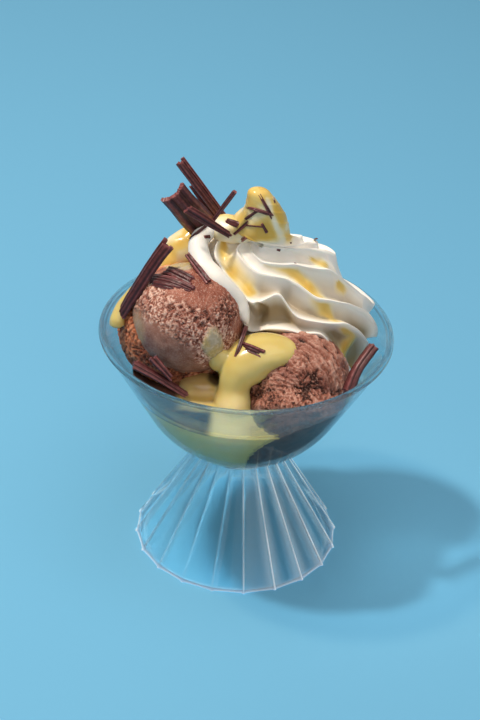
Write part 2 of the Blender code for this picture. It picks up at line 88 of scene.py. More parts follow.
# Custard that lies on and under the left scoop: centre and half sizes
CUSTARD_LUMPS = (
    ((-10.5, -18.0, 106.5), (5.5, 4.6, 5.5)), ((-18.0, -17.5, 91.5), (10.5, 8.5, 6.0)),
)
DRIP_PATH = ((-43.5, 5.5, 134.0), (-50.0, 3.5, 127.0), (-55.4, 0.5, 120.0), (-56.9, -2.6, 114.6), (-56.8, -3.2, 110.6))
DRIP_RADII = (1.2, 2.0, 2.4, 3.3, 0.1)

# Whipped cream: each ring's centre, half width, depth to the front, depth to the back and fall to the right
CREAM_RINGS = np.array((
    (15.5, 16.5, 94.0, 36.5, 16.0, 28.0, -0.20),
    (15.5, 17.0, 110.0, 40.5, 20.0, 31.0, -0.20),
    (15.0, 19.0, 126.5, 42.0, 20.0, 32.0, -0.32),
    (15.2, 22.0, 136.8, 32.0, 15.0, 27.0, -0.30),
    (14.4, 23.0, 142.3, 22.8, 11.0, 20.0, -0.15),
    (11.0, 22.0, 145.0, 16.0, 7.5, 15.0, -0.05),
    (3.5, 23.0, 149.0, 14.4, 10.0, 12.0, -0.10),
    (5.2, 21.0, 158.0, 9.9, 8.8, 8.8, -0.15),
    (3.8, 19.0, 165.8, 6.7, 6.0, 6.0, -0.10),
    (2.0, 18.4, 170.6, 4.2, 3.9, 3.9, 0.00),
    (1.4, 18.0, 172.6, 0.3, 0.3, 0.3, 0.00),
))
LAST_RING = len(CREAM_RINGS) - 1
CREAM_TURN = math.radians(-12)
PEAK_RING = 6
# Crests of the swirl: (angle in degrees from the right by way of the front, ring phase). Four crests on, each goes
# round once and becomes the crest four numbers higher.
FIRST_CREST, LAST_CREST = -3, 15
CRESTS = {
    -2: ((0, 0), (300, 0), (360, 0.3)),
    -1: ((0, 0), (150, 0), (180, 0.3), (330, 1.0), (360, 1.4)),
    0: ((0, 0), (70, 0), (120, 0.7), (180, 1.3), (342, 2.15), (360, 2.7)),
    1: ((0, 0), (15, 0), (34, 0.39), (50, 1.17), (57, 1.54), (61, 1.59), (72, 1.41), (80, 1.41), (95, 1.17),
        (101, 0.97), (108, 0.87), (109.5, 1.2), (114, 1.63), (125, 1.64), (140, 1.67), (157, 1.88), (171, 1.95),
        (178, 2.2), (184, 2.8), (190, 3.2), (345, 4.03), (360, 4.55)),
    2: ((0, 0.3), (5, 0.8), (20, 1.5), (30, 1.94), (40, 2.12), (55, 1.98), (72, 1.85), (77, 1.88), (81, 2.06),
        (83, 2.27), (87, 2.4), (93, 2.08), (100, 1.75), (104, 1.69), (110, 1.82), (119, 2.01), (132, 2.26),
        (140, 2.45), (149, 2.85), (154, 3.54), (328, 4.66), (360, 5.3)),
    3: ((0, 1.4), (6, 2.0), (13, 2.42), (30, 2.64), (48, 2.68), (60, 2.63), (72, 2.88), (82, 2.95), (93, 2.82),
        (104, 2.69), (112, 2.73), (128, 3.0), (136, 3.7), (140, 4.19), (310, 5.14), (360, 6.2)),
    4: ((0, 2.7), (8, 2.95), (21, 3.39), (30, 3.73), (73, 3.79), (90, 3.45), (104, 3.16), (118, 3.5), (130, 4.3),
        (360, 6.9)),
    5: ((0, 4.55), (5, 4.72), (30, 5.15), (45, 5.4), (90, 5.2), (108, 4.95), (114, 4.2), (120, 5.0), (360, 7.5)),
    6: ((0, 5.3), (60, 5.8), (360, 8.0)),
    7: ((0, 6.2), (60, 6.5), (360, 8.5)),
    8: ((0, 6.9), (360, 9.2)),
    9: ((0, 7.5), (360, 9.6)),
    10: ((0, 8.0), (360, 9.9)),
    11: ((0, 8.5), (360, 10)),
    12: ((0, 9.2), (360, 10)),
    13: ((0, 9.6), (360, 10)),
    14: ((0, 9.9), (360, 10)),
    15: ((0, 10), (360, 10)),
}
# The lowest fold's left end: a roll along this path
FOLD_PATH = (
    (-13.2, 22.0, 149.2), (-18.4, 22.0, 148.3), (-22.4, 18.0, 146.8), (-23.4, 14.0, 144.5), (-22.4, 10.0, 141.8),
    (-20.0, 5.5, 138.6), (-14.9, 1.0, 136.2), (-9.4, 0.2, 131.4), (-4.4, 0.0, 126.0), (-1.7, -2.0, 121.3),
    (0.4, -5.0, 117.0),
)
FOLD_RADII = (2.2, 3.2, 4.0, 4.4, 4.7, 5.0, 4.9, 4.5, 4.0, 3.5, 2.8)
# The swirl's left shoulder and the flat lobe behind its peak, under custard: centre and half sizes of their parts
SHOULDER = (
    (((-29.5, 28.5, 133.5), (9.5, 8.0, 9.0)), ((-24.0, 31.0, 139.5), (8.0, 6.5, 5.5)),
     ((-35.5, 25.0, 129.0), (6.0, 6.5, 6.5))),
    (((-9.5, 24.0, 148.5), (9.5, 7.5, 6.0)), ((-3.0, 22.0, 150.5), (7.0, 6.5, 6.5))),
)
SHOULDER_SOFTNESS = 0.8

# Chocolate: foot, head, the way that the broad side faces, width at the head and at the foot, thickness, arc in
# degrees, bend and number of ribs
CURLS = {
    "choc_stick_tall": ((-5.4, 31.5, 139.0), (-32.8, 34.0, 175.2), (0.3, -1, 0.3), 5.1, 4.4, 1.8, 150, 0.6, 5),
    "choc_sliver_back": ((-8.2, 34.0, 135.5), (-28.5, 39.0, 161.6), (0.2, -1, 0.2), 2.6, 4.4, 1.2, 60, 0.5, 2),
    "choc_fan": ((-20.3, 24.0, 146.6), (-34.0, 14.0, 168.6), (-0.2, -1, 0.7), 13.2, 14.0, 1.9, 115, 1.0, 3),
    "choc_stick_ribbed": ((-8.6, 15.2, 149.6), (-28.0, 9.0, 165.5), (0.2, -1, 0.8), 4.9, 3.2, 1.6, 90, 0.5, 3),
    "choc_stick_thin": ((-17.6, 16.4, 155.6), (-8.6, 14.4, 171.6), (0, -1, 0.4), 2.4, 2.0, 1.8, 40, 0.0, 2),
    "choc_curl_left": ((-56.4, -3.6, 116.6), (-36.4, 0.5, 153.2), (-0.4, -0.8, 1.0), 7.6, 5.8, 1.9, 120, 1.5, 4),
    "choc_curl_rim": ((-23.4, -25.5, 92.2), (-47.5, -24.0, 106.8), (0.1, -0.6, 1.0), 5.2, 3.6, 1.8, 110, 0.8, 3),
    "choc_flap_rim": ((-30.5, -25.5, 99.8), (-39.7, -24.0, 110.2), (0.3, -1, 0.8), 4.4, 3.0, 1.4, 60, 0.3, 2),
    "choc_curl_right": ((44.0, -23.5, 98.4), (55.4, -7.5, 113.6), (-0.7, -0.4, 0.7), 6.6, 7.6, 1.9, 130, 1.6, 3),
    "choc_flake_side": ((-17.7, -6.5, 139.3), (-27.6, 8.0, 143.7), (-0.1, -0.7, 1), 2.8, 3.8, 1.3, 60, 0.3, 2),
    "choc_flake_top_low": ((-24.0, -12.6, 138.3), (-43.2, 0.5, 135.4), (-0.25, -0.6, 1), 6.0, 5.0, 1.6, 80, 2.4, 3),
    "choc_flake_top_high": ((-24.2, -8.6, 140.4), (-37.0, 1.7, 139.6), (-0.15, -0.5, 1), 5.2, 5.6, 1.6, 80, 1.4, 3),
    "choc_flake_pour_long": ((-3.9, -17.0, 108.1), (-1.4, -15.0, 117.8), (0, -0.8, 1), 2.4, 2.0, 1.3, 50, 0.0, 2),
    "choc_flake_pour_wide": ((7.3, -17.0, 110.4), (-2.5, -16.0, 114.2), (0, -0.8, 1), 3.2, 4.2, 1.4, 50, 0.2, 3),
}
# These flakes and all shards are laid on what the camera sees behind them, looked for from this far before them
LAY_FROM = 50.0
LAY_REACH = 120.0
LAID = ("choc_flake_pour_long", "choc_flake_pour_wide")
# Loose shards: two ends, width and thickness. The first lies on the left scoop, the others on the cream
SHARDS = (
    ((-31.1, -12.0, 138.2), (-42.6, -4.0, 135.6), 3.2, 1.3), ((-19.5, 28.0, 147.0), (-27.0, 24.0, 141.0), 1.6, 1.3),
    ((1.7, 15.2, 172.0), (8.5, 11.6, 162.0), 1.7, 1.3), ((-3.4, 15.7, 164.5), (8.6, 11.2, 163.4), 1.9, 1.3),
    ((-3.9, 14.4, 158.4), (1.7, 11.2, 165.2), 1.5, 1.2), ((-8.4, 20.6, 146.4), (-2.0, 13.3, 158.2), 1.6, 1.3),
    ((-3.3, 13.6, 156.4), (4.7, 10.9, 157.6), 0.8, 0.8), ((4.2, 11.0, 159.0), (6.7, 10.8, 154.6), 1.5, 1.2),
    ((-11.8, 20.6, 154.6), (-5.8, 14.9, 155.8), 3.0, 1.0), ((8.3, 17.2, 169.4), (9.2, 15.0, 167.4), 0.9, 0.8),
    ((-20.4, 20.0, 145.4), (-17.9, 20.3, 145.8), 1.8, 1.2), ((-4.6, 13.6, 148.6), (-2.6, 13.0, 150.8), 2.0, 1.2),
    ((11.2, 13.4, 145.4), (13.0, 13.2, 145.2), 1.3, 1.0), ((17.0, 16.0, 147.6), (17.8, 15.8, 147.9), 0.8, 0.6),
    ((27.6, 26.6, 144.3), (28.4, 26.4, 144.4), 0.9, 0.8), ((19.0, 9.8, 141.2), (20.0, 9.8, 141.0), 0.6, 0.5),
)

# Custard in the grooves: lines of (place, half width)
STREAKS = (
    (((-12.5, 20.2, 145.6), 2.1), ((-12.6, 15.9, 143.0), 2.8), ((-10.1, 11.4, 139.8), 3.6), ((-6.4, 7.2, 136.0), 4.2),
     ((-2.3, 3.9, 132.1), 4.2), ((0.1, 2.0, 128.8), 3.0)),
    (((6.2, 9.4, 139.4), 0.9), ((13.1, 8.8, 138.7), 1.8), ((20.2, 8.3, 137.5), 2.3), ((25.2, 6.6, 134.3), 2.4),
     ((28.9, 4.9, 130.9), 3.0), ((31.7, 2.7, 127.2), 3.6), ((34.6, 0.8, 123.6), 3.4), ((39.7, -0.3, 119.4), 1.7),
     ((45.6, -0.2, 112.9), 2.6)),
    (((27.5, 14.1, 142.4), 1.0), ((31.0, 14.0, 141.1), 2.4), ((34.5, 14.3, 139.6), 2.0)),
    (((40.0, 11.2, 132.5), 0.8), ((42.5, 11.0, 130.3), 1.6), ((45.0, 10.8, 127.8), 1.2)),
    (((46.3, -0.0, 113.9), 1.4), ((47.5, -0.4, 109.6), 2.4), ((46.0, -1.0, 104.7), 3.0), ((44.8, -0.6, 98.4), 2.6)),
)
# Pleat in the front of the lowest fold
PLEAT = (((4.0, 0.1, 124.5), 1.0), ((5.9, -0.8, 122.1), 1.7), ((5.7, -1.1, 118.8), 1.8), ((4.0, -0.7, 114.6), 1.0))
# White fold that the custard leaves bare on the peak
PEAK_FOLD = (
    ((6.3, 13.5, 170.0), 1.6), ((9.0, 12.0, 163.0), 1.8), ((11.0, 12.5, 156.0), 2.0), ((14.5, 13.5, 150.0), 2.2),
)


# The camera's place, its right, up and view directions, and its lens
CAMERA_PLACE = (0.0, -735.088, 577.564)
CAMERA_RIGHT = (0.998487, 0.032182, 0.044585)
CAMERA_UP = (-0.054932, 0.547467, 0.835022)
CAMERA_VIEW = (-0.002464, 0.836208, -0.548407)
CAMERA_LENS = 98.93

# Studio, in metres: each light's place, size, watts and colour, what all of them point at, and half the floor's side
LIGHTS = {
    "key": ((-0.46, 0.02, 1.07), 0.08, 8.6, "#FFF3E4"),
    "top": ((0.15, -0.15, 1.5), 1.3, 8.4, "#FFFAF4"),
    "fill": ((0.35, -1.0, 0.7), 0.9, 2.4, "#FFF6EC"),
    "back": ((-0.35, 1.1, 0.7), 0.8, 1.6, "#FFF8F0"),
}
LIGHT_AIM = (0.0, 0.0, 0.1)
ROOM_LIGHT = 0.28
FLOOR_REACH = 2.5


# Numbers, noise and meshes


def linear(code):
    """An sRGB hex colour as linear red, green, blue and alpha: c / 12.92 where dark, else ((c + 0.055) / 1.055)^2.4."""
    values = [int(code[i : i + 2], 16) / 255 for i in (1, 3, 5)]
    return (*(c / 12.92 if c <= 0.04045 else ((c + 0.055) / 1.055) ** 2.4 for c in values), 1.0)


def smooth(low, high, values):
    """Rises from 0 at low to 1 at high along 3t^2 - 2t^3."""
    t = np.clip((values - low) / (high - low), 0, 1)
    return t * t * (3 - 2 * t)


def cell_random(cells, seed):
    """A steady random number from 0 to 1 for each whole-number cell: its three numbers are multiplied by large odd
    numbers, summed and mixed by shifts."""
    x, y, z = (cells[..., axis].astype(np.int64).astype(np.uint32) for axis in range(3))
    mixed = x * np.uint32(374761393) + y * np.uint32(668265263) + z * np.uint32(2246822519)
    mixed = mixed + np.uint32(seed * 3266489 + 7)
    mixed = (mixed ^ (mixed >> np.uint32(13))) * np.uint32(1274126177)
    mixed = (mixed ^ (mixed >> np.uint32(16))) * np.uint32(2654435761)
    return ((mixed >> np.uint32(8)) & np.uint32(0xFFFF)).astype(float) / 65535


def noise(points, cell, seed):
    """Smooth noise from -1 to 1: the random numbers of the eight corners of each cell, blended by 3t^2 - 2t^3."""
    scaled = points / cell
    low = np.floor(scaled)
    part = scaled - low
    part = part * part * (3 - 2 * part)
    total = np.zeros(points.shape[:-1])
    for corner in np.ndindex(2, 2, 2):
        weight = np.prod(np.where(corner, part, 1 - part), axis=-1)
        total += weight * cell_random(low + corner, seed)
    return total * 2 - 1


def layered(points, cell, seed, layers=4, fade=0.5):
    """Noise summed over layers, each half as coarse as the last and fainter by the fade."""
    return sum(fade**i * noise(points, cell / 2**i, seed + i) for i in range(layers))


def shaken(points, cell, seed):
    """Three noises side by side, which shake points in all directions."""
    return np.stack([noise(points, cell, seed + axis) for axis in range(3)], axis=-1)


def nearest_spot(points, cell, seed):
    """The distance, in cells, to the nearest of random spots, one in each cell."""
    scaled = points / cell
    low = np.floor(scaled)
    nearest = np.full(points.shape[:-1], np.inf)
    for step in np.ndindex(3, 3, 3):
        here = low + (np.array(step) - 1)
        spot = here + np.stack([cell_random(here, seed + axis) for axis in range(3)], axis=-1)
        nearest = np.minimum(nearest, np.linalg.norm(scaled - spot, axis=-1))
    return nearest


def set_attributes(mesh, attributes):
    """Gives each point its value of these attributes."""
    for label, values in attributes.items():
        mesh.attributes.new(label, "FLOAT", "POINT").data.foreach_set("value", values.astype(np.float32).ravel())


def build_mesh(name, points, faces, attributes=None):
    """A mesh from points in millimetres and an array of faces with the same number of corners each."""
    mesh = bpy.data.meshes.new(name)
    mesh.vertices.add(len(points))
    mesh.vertices.foreach_set("co", (np.asarray(points, float) * MM).ravel())
    mesh.loops.add(faces.size)
    mesh.loops.foreach_set("vertex_index", faces.ravel().astype(np.int32))
    mesh.polygons.add(len(faces))
    mesh.polygons.foreach_set("loop_start", np.arange(0, faces.size, faces.shape[1], dtype=np.int32))
    mesh.update(calc_edges=True)
    mesh.validate()
    set_attributes(mesh, attributes or {})
    mesh.shade_smooth()
    return mesh


def add_piece(name, mesh, finish, slot, *nodes):
    """Puts the mesh in the scene as a piece that rides on the one body and stands for these CAD nodes."""
    piece = bpy.data.objects.new(name, mesh)
    bpy.context.scene.collection.objects.link(piece)
    mesh.materials.append(finish)
    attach(piece, "root")
    if nodes:
        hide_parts(*nodes)


def grid_faces(rows, columns, closed=True):
    """Quads between neighbouring rows and columns of a grid, whose last column meets the first if it is closed."""
    row = np.arange(rows - 1)[:, None] * columns
    column = np.arange(columns if closed else columns - 1)[None, :]
    after = (column + 1) % columns
    quads = np.stack([row + column, row + after, row + columns + after, row + columns + column], axis=-1)
    return quads.reshape(-1, 4)


def mesh_points(mesh):
    """The mesh's points in Blender's unit, metres."""
    points = np.empty(len(mesh.vertices) * 3)
    mesh.vertices.foreach_get("co", points)
    return points.reshape(-1, 3)


def unit(vectors):
    """The vectors at length 1."""
    return vectors / np.maximum(np.linalg.norm(vectors, axis=-1), 1e-9)[..., None]


def ball_directions(detail):
    """Unit directions and triangles of an icosphere."""
    bm = bmesh.new()
    bmesh.ops.create_icosphere(bm, subdivisions=detail, radius=1)
    mesh = bpy.data.meshes.new("directions")
    bm.to_mesh(mesh)
    bm.free()
    points = mesh_points(mesh)
    faces = np.empty(len(mesh.polygons) * 3, np.int32)
    mesh.polygons.foreach_get("vertices", faces)
    bpy.data.meshes.remove(mesh)
    return unit(points), faces.reshape(-1, 3)


def reach(heart, directions, depth):
    """How far the form goes from its heart along each direction: the place where depth turns negative, by halving."""
    near = np.zeros(len(directions))
    far = np.full(len(directions), FARTHEST)
    for _ in range(18):
        middle = (near + far) / 2
        inside = depth(np.array(heart) + directions * middle[:, None]) > 0
        near = np.where(inside, middle, near)
        far = np.where(inside, far, middle)
    return near


def ball(points, centre, radius):
    """How deep the points lie in a ball, negative outside it."""
    return radius - np.linalg.norm(points - np.array(centre), axis=-1)


def egg(points, centre, half_sizes):
    """About how deep the points lie in an ellipsoid, negative outside it."""
    return (1 - np.linalg.norm((points - np.array(centre)) / half_sizes, axis=-1)) * min(half_sizes)


def run_together(depths, softness):
    """Joins forms with a fillet: softness times the logarithm of the sum of exp(depth / softness)."""
    return softness * np.log(np.exp(np.clip(np.array(depths) / softness, -60, 60)).sum(axis=0))


def lump(directions, heart, eggs, softness):
    """Points on the surface of eggs that are run together, along these directions from the heart."""
    distance = reach(heart, directions, lambda at: run_together([egg(at, *sizes) for sizes in eggs], softness))
    return np.array(heart) + directions * distance[:, None]


def bowl_radius(height, inset=0.0):
    """The bowl's radius at this height, this far inside its outer face: a ball and a cone that touches it."""
    inner = BALL_RADIUS - inset
    slant = math.hypot(1, FLARE)
    touch = BALL_HEIGHT - inner * FLARE / slant
    cone = inner / slant + FLARE * (height - touch)
    round_part = np.sqrt(np.maximum(inner**2 - (height - BALL_HEIGHT) ** 2, 0))
    return np.where(height > touch, cone, round_part)


def bowl_room(points):
    """How far the points are from the inside of the bowl, or a fixed amount above the rim."""
    inner = bowl_radius(points[..., 2], GLASS_WALL - INTO_WALL)
    return np.where(points[..., 2] > DISH_HEIGHT + 4, 9.0, inner - np.hypot(points[..., 0], points[..., 1]))


# Materials


def add_node(tree, kind, settings=None, links=None):
    """Adds a node, sets its properties or inputs from settings, and links its inputs to sockets."""
    made = tree.nodes.new(kind)
    for key, value in (settings or {}).items():
        if isinstance(key, str) and hasattr(made, key):
            setattr(made, key, value)
        else:
            made.inputs[key].default_value = value
    for key, socket in (links or {}).items():
        tree.links.new(socket, made.inputs[key])
    return made


def new_finish(name, **sockets):
    """A material with one Principled shader, whose sockets take these fixed values. Returns it with tree and shader."""
    finish = bpy.data.materials.new(name)
    finish.use_nodes = True
    shader = finish.node_tree.nodes["Principled BSDF"]
    for label, value in sockets.items():
        shader.inputs[label.replace("_", " ")].default_value = value
    return finish, finish.node_tree, shader


def ramp(tree, socket, *stops):
    """A colour ramp through (place, colour) stops."""
    made = add_node(tree, "ShaderNodeValToRGB", links={"Fac": socket})
    elements = made.color_ramp.elements
    while len(elements) < len(stops):
        elements.new(0.5)
    for element, (place, colour) in zip(elements, stops):
        element.position = place
        element.color = linear(colour)
    return made.outputs["Color"]


def blend_colours(tree, share, first, second, mode="MIX"):
    """A blend of two colours, each a socket or a value, as is the share of the second."""
    made = add_node(tree, "ShaderNodeMix", {"data_type": "RGBA", "blend_type": mode})
    for number, value in ((0, share), (6, first), (7, second)):
        if isinstance(value, bpy.types.NodeSocket):
            tree.links.new(value, made.inputs[number])
        else:
            made.inputs[number].default_value = value
    return made.outputs[2]


def object_noise(tree, millimetres, detail, roughness=0.55):
    """A noise pattern on Object coordinates, whose largest features are this many millimetres across."""
    place = add_node(tree, "ShaderNodeTexCoord").outputs["Object"]
    made = add_node(
        tree,
        "ShaderNodeTexNoise",
        {"Scale": 1 / (millimetres * MM), "Detail": detail, "Roughness": roughness},
        {"Vector": place},
    )
    return made.outputs["Fac"]


def bump(tree, shader, socket, depth_mm, strength):
    """Roughens the shader's surface by this pattern, as deep as this."""
    made = add_node(tree, "ShaderNodeBump", {"Strength": strength, "Distance": depth_mm * MM}, {"Height": socket})
    tree.links.new(made.outputs["Normal"], shader.inputs["Normal"])


def gloss(tree, shader, socket, dull, glossy):
    """Makes the shader's roughness run from dull, where the pattern is 0, to glossy, where it is 1."""
    made = add_node(tree, "ShaderNodeMapRange", {"To Min": dull, "To Max": glossy}, {"Value": socket})
    tree.links.new(made.outputs["Result"], shader.inputs["Roughness"])


def times(tree, socket, number):
    """The socket's value times a number."""
    return add_node(tree, "ShaderNodeMath", {"operation": "MULTIPLY", 1: number}, {0: socket}).outputs[0]


def blend_shaders(tree, share, first, second):
    """A blend of two shaders, with this share, a number or a socket, of the second."""
    links = {1: first, 2: second}
    if isinstance(share, float):
        return add_node(tree, "ShaderNodeMixShader", {0: share}, links).outputs[0]
    return add_node(tree, "ShaderNodeMixShader", links={0: share, **links}).outputs[0]


def attribute(tree, label):
    """The value that set_attributes gave each point under this label."""
    return add_node(tree, "ShaderNodeAttribute", {"attribute_name": label}).outputs["Fac"]


def pressed_glass():
    """Clear soda-lime glass, pressed in a mould and fire-polished: it bends light strongly and has a hard bright gloss.
    On the foot's mould edges and base ring a painted highlight, white diffuse shading with a faint glow, draws thin
    white lines. Lamp light passes straight through to what is inside, as it does through a thin wall."""
    finish, tree, shader = new_finish(
        "pressed_soda_lime_glass", Base_Color=linear("#E8F6F8"), Roughness=0.0, IOR=1.5, Transmission_Weight=1.0
    )
    clear = add_node(tree, "ShaderNodeBsdfTransparent", {"Color": linear("#E4F1F5")}).outputs[0]
    shade = add_node(tree, "ShaderNodeBsdfTransparent", {"Color": linear("#E6F0F5")}).outputs[0]
    # Painted highlight for the foot's edges and base ring: a white diffuse shader plus a faint glow, mixed in where the
    # edge attribute is high.
    painted_edge_white = add_node(tree, "ShaderNodeBsdfDiffuse", {"Color": linear("#F4F8FB")})
    painted_edge_glow = add_node(tree, "ShaderNodeEmission", {"Color": linear("#EAF3F8"), "Strength": 0.35})
    painted_edge_light = add_node(tree, "ShaderNodeAddShader", links={0: painted_edge_white.outputs[0], 1: painted_edge_glow.outputs[0]})
    thin = blend_shaders(tree, 0.35, shader.outputs[0], clear)
    edged = blend_shaders(tree, times(tree, attribute(tree, "edge"), 0.8), thin, painted_edge_light.outputs[0])
    to_lamp = add_node(tree, "ShaderNodeLightPath").outputs["Is Shadow Ray"]
    tree.links.new(blend_shaders(tree, to_lamp, edged, shade), tree.nodes["Material Output"].inputs["Surface"])
    return finish


def ice_cream(name, deep, body, pale, grain_mm, wet_deep, wet_pale):
    """Scooped chocolate ice cream: dull and dense, paler where frost and air show, and darker in its pits and cracks,
    which is painted shade. Where it has melted it is greyer, darker and wet."""
    finish, tree, shader = new_finish(
        name, IOR=1.35, Subsurface_Weight=0.15, Subsurface_Radius=(0.9, 0.4, 0.25), Subsurface_Scale=MM
    )
    # The height attribute sets the colour: its low values in pits, holes and cracks are painted shade.
    colour = ramp(tree, attribute(tree, "height"), (0.12, deep), (0.5, body), (0.85, pale))
    patches = ramp(tree, object_noise(tree, 11.0, 3.0), (0.35, "#B0847A"), (0.5, "#E8D8D2"), (0.65, "#FFFFFF"))
    colour = blend_colours(tree, 0.8, colour, patches, "MULTIPLY")
    grain = object_noise(tree, grain_mm, 3.0, 0.7)
    specks = ramp(tree, grain, (0.53, "#000000"), (0.68, "#B0B0B0"))
    colour = blend_colours(tree, specks, colour, linear(pale))
    melt = attribute(tree, "melt")
    wet = ramp(tree, object_noise(tree, 4.0, 4.0), (0.35, wet_deep), (0.65, wet_pale))
    share = ramp(tree, melt, (0.1, "#000000"), (0.9, "#F0F0F0"))
    colour = blend_colours(tree, share, colour, wet)
    # Custard glaze, and on the left scoop's side a painted sheen, mixed in as a pale film.
    glaze_and_sheen = attribute(tree, "glaze_and_sheen")
    film = ramp(tree, object_noise(tree, 6.0, 3.0), (0.4, "#C9B47A"), (0.6, "#BFB8A0"))
    tree.links.new(blend_colours(tree, times(tree, glaze_and_sheen, 0.8), colour, film), shader.inputs["Base Color"])
    smeared = add_node(tree, "ShaderNodeMath", {"operation": "MAXIMUM"}, {0: melt, 1: glaze_and_sheen})
    gloss(tree, shader, smeared.outputs[0], 0.6, 0.25)
    bump(tree, shader, grain, 0.22, 0.8)
    return finish


def custard_finish():
    """Cooked custard sauce: thick, glossy and slightly see-through at its edges, a pale buttery yellow."""
    finish, tree, shader = new_finish(
        "custard_sauce", Roughness=0.2, IOR=1.4, Coat_Weight=0.3, Coat_Roughness=0.08,
        Subsurface_Weight=0.45, Subsurface_Radius=(2.6, 1.6, 0.5), Subsurface_Scale=MM,
    )
    colour = ramp(tree, object_noise(tree, 14.0, 2.0), (0.35, "#CFB768"), (0.65, "#DAC77E"))
    # Browner under the left scoop (melted ice cream and painted shade), paler at the front (painted light), dark brown
    # (melted chocolate, and a painted shadow in the gap under the left scoop).
    for label, code in (("stain_and_shade", "#B0905A"), ("painted_lit_front", "#F2DDAE"), ("cocoa_and_shade", "#3A2622")):
        colour = blend_colours(tree, attribute(tree, label), colour, linear(code))
    tree.links.new(colour, shader.inputs["Base Color"])
    return finish


def cream_finish():
    """Piped dairy cream: satin and a little translucent, warm white, with custard sunk into its grooves. The custard
    is glossier and more yellow."""
    finish, tree, shader = new_finish(
        "piped_dairy_cream", IOR=1.4, Subsurface_Weight=0.15, Subsurface_Radius=(1.6, 1.2, 0.8), Subsurface_Scale=MM
    )
    sauce = attribute(tree, "sauce")
    white = ramp(tree, object_noise(tree, 10.0, 2.0), (0.3, "#F3EEE6"), (0.7, "#FAF7F1"))
    yellow = ramp(tree, sauce, (0.15, "#F4E8BC"), (0.5, "#EDD58A"), (1.0, "#DFB654"))
    share = ramp(tree, sauce, (0.02, "#000000"), (0.7, "#FFFFFF"))
    # Painted shade: the faces between the crests are darkened towards grey-beige, most on the lower rings.
    shaded = ramp(tree, attribute(tree, "hollow"), (0.1, "#FFFFFF"), (0.9, "#B3A387"))
    white = blend_colours(tree, 1.0, white, shaded, "MULTIPLY")
    tree.links.new(blend_colours(tree, share, white, yellow), shader.inputs["Base Color"])
    gloss(tree, shader, sauce, 0.42, 0.16)
    return finish


def chocolate_finish():
    """Shaved dark chocolate: glossy ribs, with a paler, redder painted highlight on their crests and a near-black
    painted shade in their grooves, and broken ends that are rough and pale."""
    finish, tree, shader = new_finish("shaved_dark_chocolate", IOR=1.46)
    rib_light_and_shade = attribute(tree, "rib_light_and_shade")
    shade = ramp(tree, rib_light_and_shade, (0.12, "#331517"), (0.5, "#663436"), (0.78, "#965757"), (0.95, "#C48F80"))
    dust = ramp(tree, object_noise(tree, 1.6, 3.0), (0.4, "#A89C9A"), (0.65, "#FFFFFF"))
    tree.links.new(blend_colours(tree, 0.6, shade, dust, "MULTIPLY"), shader.inputs["Base Color"])
    gloss(tree, shader, object_noise(tree, 2.5, 3.0), 0.28, 0.5)
    bump(tree, shader, object_noise(tree, 0.8, 3.0), 0.06, 0.6)
    return finish


# Shapes


